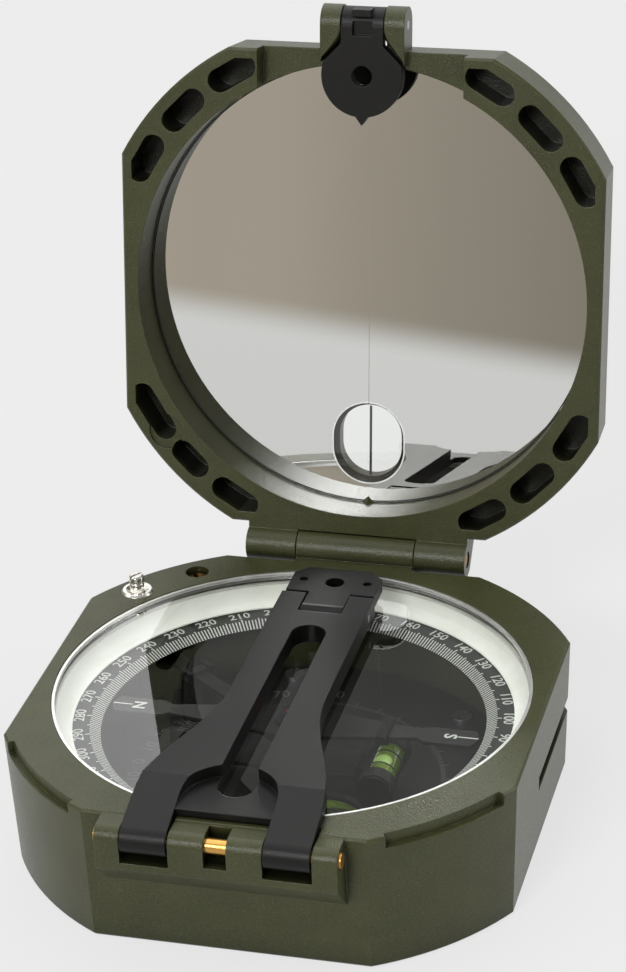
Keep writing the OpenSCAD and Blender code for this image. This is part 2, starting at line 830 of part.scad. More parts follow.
module declination_screw() {
    color(brass) at_rim(screw_angle) {
        difference() {
            post(screw_head_r, screw_head_z, screw_head_z + screw_head_t);
            translate([-screw_head_r - over, -screw_slot_w / 2, screw_head_z + screw_head_t / 2])
                cube([2 * (screw_head_r + over), screw_slot_w, screw_head_t]);
        }
        post(screw_shaft_r, azimuth_z, screw_head_z + cut);
        translate([0, 0, azimuth_z]) linear_extrude(sector_t) pinion();
        post(screw_pivot_r, azimuth_z - screw_pivot_l, azimuth_z + cut);
    }
}

// Needle lift

module lift_pin_bush() {
    lip = bush_lip;
    color(chrome) at_rim(lift_angle) rotate_extrude() polygon([
        [chamber_r, bush_z], [bush_r - press_gap, bush_z], [bush_r - press_gap, case_h],
        [bush_r - lip, case_h + lip], [lift_pin_r + 2 * lip, case_h + lip],
        [lift_pin_r + run_gap, case_h], [lift_pin_r + run_gap, chamber_top], [chamber_r, chamber_top]
    ]);
}

module lift_pin() {
    neck = 0.15;
    dome = 0.25;
    groove_up = 1.1;
    groove_w = 0.3;
    slot = 0.35;
    collar_z = chamber_top - part_gap - lift_collar_t;
    top = case_h + lift_pin_up;
    color(chrome) at_rim(lift_angle) difference() {
        rotate_extrude() polygon([
            [0, lift_pin_z], [lift_stem_r, lift_pin_z], [lift_stem_r, collar_z],
            [chamber_r - 2 * part_gap, collar_z], [chamber_r - 2 * part_gap, collar_z + lift_collar_t],
            [lift_pin_r, collar_z + lift_collar_t], [lift_pin_r, top - groove_up - groove_w],
            [lift_pin_r - neck, top - groove_up - groove_w + neck],
            [lift_pin_r - neck, top - groove_up - neck],
            [lift_pin_r, top - groove_up], [lift_pin_r, top - dome], [lift_pin_r - dome, top], [0, top]
        ]);
        translate([-slot / 2, -bush_r, top - 2 * slot]) cube([slot, 2 * bush_r, over + 2 * slot]);
    }
}

// Ring of points round the spring wire at the turn angle a
function spring_ring(a, r, z) = [for (k = [0:spring_sides - 1])
    let (b = 360 * k / spring_sides, out = r + spring_wire_r * cos(b))
    [out * cos(a), out * sin(a), z + spring_wire_r * sin(b)]];

module lift_spring() {
    r = (lift_stem_r + chamber_r) / 2;
    z0 = bush_z + spring_wire_r + press_gap;
    z1 = chamber_top - part_gap - lift_collar_t - spring_wire_r - press_gap;
    n = spring_sides;
    rings = spring_steps * spring_turns;
    turn = 360 / spring_steps;
    rise = (z1 - z0) / rings;
    line = [for (i = [0:rings]) [r * cos(turn * i), r * sin(turn * i), z0 + rise * i]];
    gaps = [for (i = [0:rings], k = [i + spring_steps / 2:1:rings])
        norm(line[i] - line[k]) - 2 * spring_wire_r];
    echo(lift_spring_least_gap = min(gaps));
    pts = [for (i = [0:rings]) each spring_ring(turn * i, r, z0 + rise * i)];
    sides = [for (i = [0:rings - 1], k = [0:n - 1]) let (a = n * i + k, b = n * i + (k + 1) % n)
        each [[a, a + n, b], [b, a + n, b + n]]];
    first = [for (k = [1:n - 2]) [0, k, k + 1]];
    last = [for (k = [1:n - 2]) [n * rings, n * rings + k + 1, n * rings + k]];
    color(steel) at_rim(lift_angle) polyhedron(pts, concat(sides, first, last));
}

module lift_lever() {
    fork = spindle_r + fork_room;
    pivot_z = lever_z + lift_lever_t / 2;
    color(steel) rotate([0, 0, lift_angle]) difference() {
        union() {
            translate([0, 0, lever_z]) linear_extrude(lift_lever_t) {
                translate([fork_l - fork_prong, -lift_lever_w / 2])
                    square([rim_mid_r - fork_l + fork_prong, lift_lever_w]);
                translate([rim_mid_r, 0]) circle(lift_lever_w / 2);
                translate([fork_tip_r, -fork - fork_prong]) square([fork_l, 2 * (fork + fork_prong)]);
            }
            translate([lift_pivot_r, 0, pivot_z]) rotate([90, 0, 0])
                cylinder(r = lever_hub_r, h = lift_lever_w, center = true);
        }
        translate([-over, -fork, lever_z - over])
            cube([fork_l - fork_prong + over, 2 * fork, lift_lever_t + 2 * over]);
        translate([lift_pivot_r, 0, pivot_z]) rotate([90, 0, 0])
            cylinder(r = lift_pivot_pin_r + run_gap, h = lift_lever_w + over, center = true);
    }
}

module lever_bracket() {
    inner = lift_lever_w / 2 + side_gap;
    pivot_z = lever_z + lift_lever_t / 2;
    color(brass) rotate([0, 0, lift_angle]) difference() {
        translate([lift_pivot_r - bracket_l / 2, -inner - bracket_t, plate_z])
            cube([bracket_l, 2 * (inner + bracket_t), pivot_z + bracket_up - plate_z]);
        translate([lift_pivot_r - bracket_l, -inner, plate_z + bracket_t])
            cube([2 * bracket_l, 2 * inner, case_h]);
        translate([lift_pivot_r, 0, pivot_z]) rotate([90, 0, 0])
            cylinder(r = lift_pivot_pin_r, h = 2 * (inner + bracket_t) + over, center = true);
    }
}

module lever_pivot_pin() {
    l = lift_lever_w + 2 * (side_gap + bracket_t);
    color(steel) rotate([0, 0, lift_angle]) translate([lift_pivot_r, 0, lever_z + lift_lever_t / 2])
        rotate([90, 0, 0]) cylinder(r = lift_pivot_pin_r - press_gap, h = l, center = true);
}

module lift_ring() {
    color(brass) ring(spindle_r + run_gap, spindle_r + lift_ring_w, lift_ring_z, lift_ring_z + lift_ring_t);
}

// Clinometer

module clinometer_spindle() {
    color(steel) difference() {
        union() {
            post(spindle_r, spindle_z, spindle_top);
            post(collar_r, plate_z + 2 * part_gap, vernier_z);
        }
        post(lever_screw_r, spindle_z - over, spindle_z + lever_screw_l + lever_screw_room);
        post(pivot_r, spindle_top - pivot_hole_l, spindle_top + over);
    }
}

module vernier_arm() {
    index_w = 2.6;
    index_a = 14;
    hub_wall = 1;
    root_w = 3.3;
    tip_w = 1.6;
    tail_in = 2.1;
    stem = vernier_r - index_w / 2;
    tail = tube_x - tail_in;
    color(dial_black) difference() {
        union() {
            translate([0, 0, vernier_z]) linear_extrude(vernier_t) {
                circle(collar_r + hub_wall);
                polygon([
                    [tail, -root_w], [tail, root_w], [0, root_w],
                    [-stem, tip_w], [-stem, -tip_w], [0, -root_w]
                ]);
            }
            rotate([0, 0, 180 - index_a]) rotate_extrude(angle = 2 * index_a)
                translate([vernier_r - index_w, vernier_z]) square([index_w, vernier_t]);
        }
        post(spindle_r + press_gap, vernier_z - over, vernier_z + vernier_t + over);
    }
}

// A bar of the given radius and length along the tube level's axis
module tube_bar(r, l) {
    translate([tube_x, -tube_front, tube_z]) rotate([90, 0, 0]) cylinder(r = r, h = l, center = true);
}

module level_holder() {
    foot_in = 1.6;
    foot_w = 3.5;
    sill = 0.4;
    foot_x = tube_x - holder_r - foot_in;
    foot_z = vernier_z + vernier_t;
    foot_back = min(foot_w, holder_l / 2 - tube_front);
    color(dial_black) difference() {
        union() {
            tube_bar(holder_r, holder_l);
            translate([foot_x, -foot_w, foot_z]) cube([tube_x - foot_x, foot_w + foot_back, tube_z - foot_z]);
        }
        tube_bar(tube_r + part_gap, holder_l + over);
        translate([tube_x - holder_r - over, -tube_front - tube_window_l / 2, tube_z - sill])
            cube([2 * (holder_r + over), tube_window_l, 2 * holder_r]);
    }
}

module tube_glass() {
    in_r = tube_r - tube_wall;
    l = holder_l - 2 * side_gap;
    color(clear, 0.4) difference() {
        tube_bar(tube_r, l);
        tube_bar(in_r, l - 2 * tube_wall);
    }
}

module tube_liquid() {
    in_r = tube_r - tube_wall - press_gap;
    l = holder_l - 2 * (side_gap + tube_wall + part_gap);
    color(green) tube_bar(in_r, l);
}

module tube_caps() {
    cap_t = 0.6;
    for (s = [-1, 1]) color(chrome) translate([0, s * (holder_l + cap_t) / 2, 0])
        tube_bar(holder_r - side_gap, cap_t);
}

module round_level_place() {
    translate([round_x, -round_front, 0]) children();
}

module round_level_cup() {
    color(dial_black) round_level_place() difference() {
        post(round_r, plate_z, round_z);
        post(round_r - round_wall, plate_z + round_floor, round_z + over);
    }
}

module round_level_liquid() {
    top = round_z - round_sunk - round_glass_t;
    color(green) round_level_place() post(round_r - round_wall - part_gap, plate_z + round_floor, top);
}

module round_level_glass() {
    top = round_z - round_sunk;
    color(clear, 0.4) round_level_place() post(round_r - round_wall - part_gap, top - round_glass_t, top);
}

module thumb_lever() {
    ribs = 4;
    rib_share = 0.8;
    rib_l = 2 * rib_share * thumb_tip_r;
    first = thumb_reach + (ribs - 1) / 2 * thumb_rib_pitch;
    color(dial_black) difference() {
        union() {
            translate([0, 0, thumb_z]) linear_extrude(thumb_t)
                rotate(180) tapered_bar(thumb_hub_r, thumb_tip_r, thumb_reach);
            for (i = [0:ribs - 1])
                translate([i * thumb_rib_pitch - first, -rib_l / 2, thumb_z - thumb_rib_h])
                    cube([thumb_rib_w, rib_l, thumb_t / 2]);
        }
        post(spindle_r + press_gap, thumb_z - over, thumb_pocket_h + over);
        post(lever_screw_head_r + part_gap, thumb_z - over, spindle_z);
    }
}

module lever_screw() {
    slot_w = 0.5;
    slot_depth = 0.3;
    color(steel) difference() {
        union() {
            post(lever_screw_head_r, thumb_z, spindle_z);
            post(lever_screw_r - press_gap, thumb_z, spindle_z + lever_screw_l);
        }
        translate([-lever_screw_head_r - over, -slot_w / 2, thumb_z - over])
            cube([2 * (lever_screw_head_r + over), slot_w, over + slot_depth]);
    }
}

module pivot_point() {
    foot = spindle_top - pivot_hole_l + part_gap;
    color(steel) rotate_extrude() polygon([
        [0, foot], [pivot_r - press_gap, foot], [pivot_r - press_gap, hub_z + pivot_shoulder],
        [pivot_tip_r, hub_z + pivot_tip], [0, hub_z + pivot_tip]
    ]);
}

// Needle

// Half width of the needle's tapered blade at a distance from its middle
function blade_half(r) = needle_hub_w + (needle_waist_w - needle_hub_w) * r / needle_waist_r;

module needle_plan() {
    shoulder = 1.2;
    half = [
        [0, needle_hub_w], [needle_waist_r, needle_waist_w],
        [needle_waist_r + shoulder, needle_tag_w], [needle_waist_r + needle_tag_l, needle_tag_w]
    ];
    right = concat(half, [[needle_r, 0]], [for (i = [3:-1:0]) [half[i][0], -half[i][1]]]);
    lower = [for (i = [1:3]) -half[i]];
    upper = [for (i = [3:-1:1]) [-half[i][0], half[i][1]]];
    left = concat(lower, [[-needle_r, 0]], upper);
    polygon(concat(right, left));
}

module needle_blade() {
    color(dial_black) difference() {
        translate([0, 0, needle_z]) linear_extrude(needle_t) needle_plan();
        post(hub_r + press_gap, needle_z - over, needle_top + over);
    }
}

module needle_hub() {
    inner = spindle_r + side_gap;
    flange = 0.6;
    collar = 0.8;
    hub_h = 2.5;
    jewel_wall = 0.6;
    jewel_z = hub_z + jewel_up;
    color(charcoal) rotate_extrude() polygon([
        [inner, hub_z], [hub_r + flange, hub_z], [hub_r + flange, needle_z], [hub_r, needle_z],
        [hub_r, needle_top + collar], [jewel_r + jewel_wall, hub_z + hub_h], [jewel_r, hub_z + hub_h],
        [jewel_r, jewel_z], [inner, jewel_z - side_gap]
    ]);
}

module needle_jewel() {
    cup_r = 0.7;
    cup_h = 0.35;
    jewel_z = hub_z + jewel_up;
    color("#a03048") rotate_extrude() polygon([
        [cup_r, jewel_z], [jewel_r - press_gap, jewel_z], [jewel_r - press_gap, jewel_z + jewel_t],
        [0, jewel_z + jewel_t], [0, jewel_z + cup_h]
    ]);
}

module needle_balance() {
    l = 1.6;
    wall = 0.4;
    w = 2 * (blade_half((needle_r - l) / 2) + part_gap + wall);
    color(charcoal) translate([needle_r / 2, 0, needle_z + needle_t / 2]) difference() {
        cube([l, w, needle_t + 2 * wall], center = true);
        cube([2 * l, w - 2 * wall, needle_t + 2 * press_gap], center = true);
    }
}

// Lid

module lid_knuckles() {
    root = case_d / 2 - over - hinge_y;
    low = lid_gap - hinge_up;
    room = knuckle_r + side_gap;
    back = knuckle_r * [cos(lid_root_a), sin(lid_root_a)];
    side = lid_pin_half - lid_knuckle_w / 2;
    for (s = [-1, 1]) translate([s * side, hinge_y, hinge_z]) along_x(lid_knuckle_w) {
        circle(knuckle_r);
        polygon([[root, low], [0, low], back, [root, low + lid_root_h]]);
    }
    translate([0, hinge_y, hinge_z]) along_x(case_knuckle_w + 2 * knuckle_gap) difference() {
        polygon([[root, low], [0, low], [0, knuckle_r + over], [root, low + lid_root_h]]);
        circle(room);
        rotate(rib_turn + lid_open_max) translate([-case_d, -case_d]) square([case_d + room, case_d]);
    }
}

module sight_ears() {
    w = ear_half_w - sight_root_w - ear_gap;
    for (s = [-1, 1]) translate([s * (ear_half_w - w / 2), 0, 0]) along_x(w) {
        translate([sight_y, sight_z]) circle(ear_r);
        translate([sight_y, sight_z - ear_r]) square([-ear_back - sight_y, 2 * ear_r]);
    }
}

// Disc of the leaf, seen from the pivot, with its shoulders sloped to the root
module leaf_disc(grow) {
    side = leaf_r + over;
    low = ear_r + leaf_shoulder - grow * sqrt(2);
    intersection() {
        translate([0, leaf_reach]) circle(leaf_r + grow);
        polygon([
            [-sight_root_w, low], [sight_root_w, low], [side, low + side - sight_root_w],
            [side, leaf_reach + 2 * side], [-side, leaf_reach + 2 * side], [-side, low + side - sight_root_w]
        ]);
    }
}

// Room in front of the ears that the leaf's disc sweeps as it turns on its pin
module leaf_sweep() {
    intersection() {
        translate([0, sight_y, sight_z]) rotate([0, 90, 0]) rotate_extrude()
            rotate(-90) leaf_disc(leaf_clear);
        translate([-case_w / 2, -case_d, 0]) cube([case_w, case_d, leaf_z + leaf_t + leaf_clear]);
    }
}

// Place of a pocket on the rim: its middle angle and its span
function pocket_list() = let (pin_end = lift_angle - pin_room_a) [
    for (c = [45, 135, 225, 315], i = [-1:1])
        c != 135 || i == -1 ? [c + i * pocket_pitch, pocket_span]
        : let (far = 135 + pocket_pitch + pocket_span / 2, web_end = pin_end - web_a)
          i == 1 ? [(far + pin_end) / 2, far - pin_end]
          : [(135 - pocket_span / 2 + web_end) / 2, web_end - 135 + pocket_span / 2]
];

module rim_pockets() {
    inset = 1.5;
    translate([0, 0, lid_z - over]) linear_extrude(pocket_depth + over) intersection() {
        for (p = pocket_list()) rotate(p[0]) translate([rim_mid_r, 0])
            obround(pocket_w, 2 * rim_mid_r * sin(p[1] / 2));
        square([case_w - 2 * inset, case_d - 2 * inset], center = true);
    }
}

// Pointed index at the mirror's edge, which the mirror doubles to a diamond
module index_nub() {
    bite = 0.1;
    nub_l = 1.4;
    nub_h = 1;
    translate([0, bore_r + bite, mirror_z]) polyhedron(
        [[-nub_w / 2, 0, 0], [nub_w / 2, 0, 0], [0, -bite - nub_h, 0], [0, 0, -nub_l]],
        [[0, 1, 2], [0, 3, 1], [0, 2, 3], [2, 1, 3]]
    );
}

module lid_shell() {
    bush_room = 0.25;
    recess_in = 4;
    color(olive) opened() difference() {
        union() {
            difference() {
                translate([0, 0, lid_z]) drafted_block(lid_h, lid_draft, lid_edge);
                at_rim(lift_angle) post(bush_r + bush_room, lid_z - over, case_h + bush_lip + bush_room);
                post(bore_r, lid_z - over, mirror_back);
                translate([-recess_w / 2, -case_d / 2 - over, lid_z - over])
                    cube([recess_w, case_d / 2 - bore_r + recess_in + over, recess_depth + over]);
                rim_pockets();
            }
            lid_knuckles();
            difference() {
                sight_ears();
                leaf_sweep();
            }
            index_nub();
        }
        translate([0, window_y, mirror_z]) linear_extrude(lid_h)
            obround(window_w - 2 * window_lip, window_h - 2 * window_lip);
        bar_x(hinge_pin_r + run_gap, 2 * lid_pin_half + over, hinge_y, hinge_z);
        bar_x(sight_pin_r, 2 * ear_half_w + over, sight_y, sight_z);
    }
}

module mirror_glass() {
    color("#c9ced2") opened() difference() {
        post(bore_r - 2 * part_gap, mirror_z, mirror_back);
        translate([0, window_y, mirror_z - over]) linear_extrude(mirror_t + 2 * over)
            obround(window_w, window_h);
    }
}

module sight_window() {
    color(clear, 0.3) opened() translate([0, window_y, mirror_z]) linear_extrude(mirror_t)
        obround(window_w - 2 * part_gap, window_h - 2 * part_gap);
}

module sight_hairline() {
    l = window_h - 2 * (window_lip + side_gap);
    color("black") opened() translate([-hairline_w / 2, window_y - l / 2, mirror_back])
        cube([hairline_w, l, hairline_w / 2]);
}

module front_sight_pin() {
    color(steel) opened() bar_x(sight_pin_r - press_gap, 2 * ear_half_w, sight_y, sight_z);
}

module leaf_plan() {
    tip_w = 1.2;
    translate([0, sight_y]) difference() {
        union() {
            translate([-sight_root_w, 0]) square([2 * sight_root_w, leaf_reach]);
            leaf_disc(0);
            translate([0, leaf_reach + leaf_r])
                polygon([[-tip_w, -tip_w / 3], [tip_w, -tip_w / 3], [0, leaf_tip]]);
        }
        translate([0, leaf_reach]) circle(leaf_hole_r);
    }
}

module front_sight() {
    barrel = ear_r - side_gap;
    tab_w = 2.8;
    tab_t = 1;
    tab_up = 0.6;
    notch_l = 2;
    notch_depth = 0.7;
    color(charcoal) opened() difference() {
        union() {
            translate([0, 0, leaf_z]) linear_extrude(leaf_t) leaf_plan();
            bar_x(barrel, 2 * sight_root_w, sight_y, sight_z);
            translate([-tab_w / 2, sight_y - barrel, sight_z - barrel - tab_up]) cube([tab_w, tab_t, barrel]);
        }
        translate([-tab_w / 2, sight_y - tab_up, leaf_z - over]) cube([tab_w, notch_l, over + notch_depth]);
        bar_x(sight_pin_r + run_gap, 2 * ear_half_w, sight_y, sight_z);
    }
}

// Sight arm

// Half width of the arm along its length: straight by the slot, then flared to the legs
function arm_half(y) = let (t = min(1, max(0, (y + flare_start) / (flare_y + flare_start))))
    arm_half_w + (leg_out - arm_half_w) * (1 - cos(180 * t)) / 2;

module arm_plan() {
    steps = 12;
    front = arm_y - arm_knuckle_r;
    ys = concat([arm_tip], [for (i = [0:steps]) -flare_start + (flare_y + flare_start) * i / steps], [front]);
    right = [for (y = ys) [arm_half(y), y]];
    left = [for (i = [len(ys) - 1:-1:0]) [-arm_half(ys[i]), ys[i]]];
    polygon(concat(right, left));
}

module arm_side() {
    curl = 110;
    heel = 15;
    polygon([
        [arm_tip, arm_z], [arm_tip, arm_top], [crease_y, arm_top],
        [arm_y + arm_knuckle_r * cos(curl), arm_axis_z + arm_knuckle_r * sin(curl)], [arm_y, arm_axis_z],
        [arm_y + arm_knuckle_r * cos(heel), arm_axis_z + arm_knuckle_r * sin(heel)],
        [-case_d / 2 - seat_gap, leg_seat_z + move_gap], [leg_seat_y - 3 * side_gap, leg_seat_z + move_gap],
        [leg_seat_y - side_gap, arm_z]
    ]);
}

module sight_arm() {
    notch_w = peep_tongue_w + tongue_gap;
    leg_w = leg_out - leg_in;
    color(charcoal) difference() {
        union() {
            intersection() {
                translate([0, 0, arm_axis_z - over])
                    linear_extrude(arm_top - arm_axis_z + 2 * over) arm_plan();
                along_x(2 * leg_out + over) arm_side();
            }
            for (s = [-1, 1]) translate([s * (leg_in + leg_out) / 2, 0, 0])
                bar_x(arm_knuckle_r, leg_w, arm_y, arm_axis_z);
        }
        translate([0, (slot_rear - slot_front) / 2, 0]) linear_extrude(2 * case_h)
            obround(slot_w, slot_rear + slot_front);
        translate([0, 0, web_z]) linear_extrude(case_h) {
            translate([0, leaf_y]) circle(leaf_pocket_r);
            translate([-leg_in, -case_d]) square([2 * leg_in, case_d + leaf_y]);
        }
        translate([-leg_in, -case_d, 0]) cube([2 * leg_in, case_d + panel_y, 2 * case_h]);
        translate([-leg_in, -case_d, 0]) cube([2 * leg_in, case_d, arm_z]);
        translate([-notch_w, peep_y - peep_barrel_r - move_gap, 0]) cube([2 * notch_w, case_d, 2 * case_h]);
        bar_x(peep_pin_r, 2 * arm_half_w + over, peep_y, peep_z);
        bar_x(arm_pin_r + run_gap, 2 * leg_out + over, arm_y, arm_axis_z);
    }
}

module peep_pin() {
    color(steel) bar_x(peep_pin_r - press_gap, 2 * arm_half_w, peep_y, peep_z);
}

module peep_plan() {
    chamfer = 1.9;
    head = peep_head_y + peep_head_l;
    polygon([
        [-peep_tongue_w, peep_y], [peep_tongue_w, peep_y],
        [peep_tongue_w, peep_head_y], [peep_half_w, peep_head_y],
        [peep_half_w, head - chamfer], [peep_half_w - chamfer, head], [chamfer - peep_half_w, head],
        [-peep_half_w, head - chamfer], [-peep_half_w, peep_head_y], [-peep_tongue_w, peep_head_y]
    ]);
}

module peep_sight() {
    hole_back = 0.45;
    dimple_r = 0.65;
    dimple_in = 1.8;
    dimple_up = 0.3;
    dimple_depth = 0.6;
    hole_y = peep_head_y + peep_head_l / 2 - hole_back;
    color(charcoal) difference() {
        union() {
            translate([0, 0, peep_top - peep_t]) linear_extrude(peep_t) peep_plan();
            bar_x(peep_barrel_r, 2 * peep_tongue_w, peep_y, peep_z);
        }
        translate([0, hole_y, 0]) post(peep_hole_r, 0, 2 * case_h);
        for (s = [-1, 1]) translate([s * (peep_half_w - dimple_in), hole_y + dimple_up, 0])
            post(dimple_r, peep_top - dimple_depth, 2 * case_h);
        bar_x(peep_pin_r + run_gap, 2 * arm_half_w, peep_y, peep_z);
    }
}

case_body();
base_plate();
plate_screws();
spindle_bush();
lid_hinge_pin();
arm_hinge_pin();
glow_ring();
crystal_gasket();
crystal();
crystal_ring();
lift_pin_bush();
lift_spring();
lever_bracket();
lever_pivot_pin();
round_level_cup();
round_level_liquid();
round_level_glass();
azimuth_ring();
declination_screw();
lift_pin();
lift_lever();
lift_ring();
clinometer_spindle();
vernier_arm();
level_holder();
tube_glass();
tube_liquid();
tube_caps();
thumb_lever();
lever_screw();
pivot_point();
needle_blade();
needle_hub();
needle_jewel();
needle_balance();
lid_shell();
mirror_glass();
sight_window();
sight_hairline();
front_sight_pin();
front_sight();
sight_arm();
peep_pin();
peep_sight();
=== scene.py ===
import json
import logging
import math
from dataclasses import dataclass, field
from enum import Enum

import bpy
from mathutils import Matrix, Vector


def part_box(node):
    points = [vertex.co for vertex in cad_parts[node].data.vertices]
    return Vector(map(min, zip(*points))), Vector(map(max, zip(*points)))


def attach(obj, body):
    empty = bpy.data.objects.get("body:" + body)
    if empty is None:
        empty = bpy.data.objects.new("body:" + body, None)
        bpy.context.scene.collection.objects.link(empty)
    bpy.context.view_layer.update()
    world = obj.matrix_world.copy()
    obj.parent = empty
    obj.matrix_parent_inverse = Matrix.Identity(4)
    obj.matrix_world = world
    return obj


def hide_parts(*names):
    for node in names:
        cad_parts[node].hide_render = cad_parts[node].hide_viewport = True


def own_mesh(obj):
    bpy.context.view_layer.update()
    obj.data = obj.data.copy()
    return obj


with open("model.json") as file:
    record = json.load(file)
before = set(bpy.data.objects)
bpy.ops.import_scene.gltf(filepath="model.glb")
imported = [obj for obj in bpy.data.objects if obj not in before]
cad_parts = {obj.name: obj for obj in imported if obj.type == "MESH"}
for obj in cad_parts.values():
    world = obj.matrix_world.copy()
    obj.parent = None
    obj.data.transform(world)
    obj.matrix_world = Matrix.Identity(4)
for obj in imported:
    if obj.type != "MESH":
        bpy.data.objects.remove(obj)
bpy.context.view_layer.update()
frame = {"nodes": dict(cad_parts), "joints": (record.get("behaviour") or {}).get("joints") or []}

# Lengths in millimetres are turned into metres by MM. Angles are in degrees.
MM = 0.001
QUARTER = 90
HALF = 180
FULL = 360
ORIGIN = (0, 0, 0)
UP = (0, 0, 1)

# The thickness of print, in millimetres.
INK = 0.02
THICK_INK = 0.03

# The curve by which a screen shows a colour.
SCREEN_FULL = 255
CURVE_KNEE = 0.04045
CURVE_FOOT = 12.92
CURVE_LIFT = 0.055
CURVE_POWER = 2.4

# The middle of a noise's values, and the finer layers of a noise that has more of them than usual.
NOISE_MEAN = 0.5
LAYERED = 3.0

log = logging.getLogger("sighting_compass")

Colour = tuple[float, float, float]
Paint = tuple[float, float, float, float]
Place = tuple[float, float, float]
Band = tuple[float, float]


def linear(colour: Colour, share: float = 1.0) -> Paint:
    """Turns a colour as it shows on a screen into the values that shaders use.

    Args:
        colour: Red, green and blue from 0 to 255.
        share: The share of its light that is kept, above 1 for a lighter tone.

    Returns:
        Red, green and blue, and full cover.
    """
    def channel(value: float) -> float:
        """Gives one channel's value."""
        v = value / SCREEN_FULL
        return v / CURVE_FOOT if v <= CURVE_KNEE else ((v + CURVE_LIFT) / (1 + CURVE_LIFT)) ** CURVE_POWER
    return (*[channel(v) * share for v in colour], 1.0)


class Wire:
    """A socket of a node, on which shader maths is written as Python expressions."""

    def __init__(self, graph: "Graph", socket: bpy.types.NodeSocket) -> None:
        """Keeps the socket and the graph that it belongs to."""
        self.graph = graph
        self.socket = socket

    def out(self, name: str) -> "Wire":
        """Gives another output of the same node."""
        return Wire(self.graph, self.socket.node.outputs[name])

    def math(self, operation: str, first: object, second: object) -> "Wire":
        """Adds one Math node."""
        return self.graph.node("Math", {"operation": operation}, {0: first, 1: second})

    def __add__(self, other: object) -> "Wire":
        """Adds."""
        return self.math("ADD", self, other)

    def __radd__(self, other: object) -> "Wire":
        """Adds, with the wire on the right."""
        return self.math("ADD", other, self)

    def __sub__(self, other: object) -> "Wire":
        """Takes away."""
        return self.math("SUBTRACT", self, other)

    def __rsub__(self, other: object) -> "Wire":
        """Takes away, with the wire on the right."""
        return self.math("SUBTRACT", other, self)

    def __mul__(self, other: object) -> "Wire":
        """Multiplies."""
        return self.math("MULTIPLY", self, other)

    def __rmul__(self, other: object) -> "Wire":
        """Multiplies, with the wire on the right."""
        return self.math("MULTIPLY", other, self)


class Graph:
    """The node tree of one material."""

    # The numbers of the Mix node's colour inputs, and the rays by which a node feels for edges and recesses.
    COLOUR_A = 6
    COLOUR_B = 7
    RAYS = 6

    def __init__(self, name: str) -> None:
        """Starts an empty material.

        Args:
            name: The material's name.
        """
        self.material = bpy.data.materials.new(name)
        self.material.use_nodes = True
        self.tree = self.material.node_tree
        self.tree.nodes.clear()

    def node(self, kind: str, settings: dict | None = None, sockets: dict | None = None) -> Wire:
        """Adds one node.

        Args:
            kind: The node's type, without its ShaderNode prefix.
            settings: Its own settings, which are set first.
            sockets: Values or wires for its inputs.

        Returns:
            Its first output that is in use.
        """
        made = self.tree.nodes.new("ShaderNode" + kind)
        for key, value in (settings or {}).items():
            setattr(made, key, value)
        for key, value in (sockets or {}).items():
            if isinstance(value, Wire):
                self.tree.links.new(value.socket, made.inputs[key])
            else:
                made.inputs[key].default_value = value
        outputs = [s for s in made.outputs if s.enabled]
        return Wire(self, outputs[0] if outputs else None)

    def place(self) -> Wire:
        """Gives the piece's own coordinates, in metres."""
        return self.node("TexCoord").out("Object")

    def noise(self, place: Wire, size: float, detail: float = 2.0) -> Wire:
        """Adds soft noise.

        Args:
            place: The coordinates that it reads.
            size: The size of its grains, in millimetres.
            detail: The number of finer layers.

        Returns:
            A value about NOISE_MEAN.
        """
        grains = {"Vector": place, "Scale": 1 / (size * MM), "Detail": detail}
        return self.node("TexNoise", {}, grains).out("Fac")

    def mix(self, factor: object, first: object, second: object) -> Wire:
        """Mixes two colours."""
        colours = {0: factor, self.COLOUR_A: first, self.COLOUR_B: second}
        return self.node("Mix", {"data_type": "RGBA"}, colours)

    def spread(self, value: Wire, band: Band, kind: str = "LINEAR") -> Wire:
        """Stretches a band of a value over 0 to 1.

        Args:
            value: The value.
            band: The values that become 0 and 1.
            kind: How it runs between them, as the Map Range node names it.

        Returns:
            A value from 0 to 1.
        """
        ends = {"Value": value, "From Min": band[0], "From Max": band[1], "To Min": 0.0, "To Max": 1.0}
        return self.node("MapRange", {"clamp": True, "interpolation_type": kind}, ends)

    def rounded(self, radius: float) -> Wire:
        """Gives a normal that rounds the edges, by a radius in millimetres."""
        return self.node("Bevel", {"samples": self.RAYS}, {"Radius": radius * MM})

    def surface(self, shader: Wire) -> bpy.types.Material:
        """Ends the tree with its surface."""
        self.node("OutputMaterial", {}, {"Surface": shader})
        return self.material


@dataclass(frozen=True)
class Finish:
    """A finish with a colour and a roughness.

    In all finishes the sizes of patterns are in millimetres, a band is the part of a pattern that counts,
    a tone is a share of the colour's light, and a bite is what a pattern does to the roughness.
    """

    name: str
    colour: Colour
    rough: float = 0.4

    def build(self) -> bpy.types.Material:
        """Makes the material."""
        raise NotImplementedError


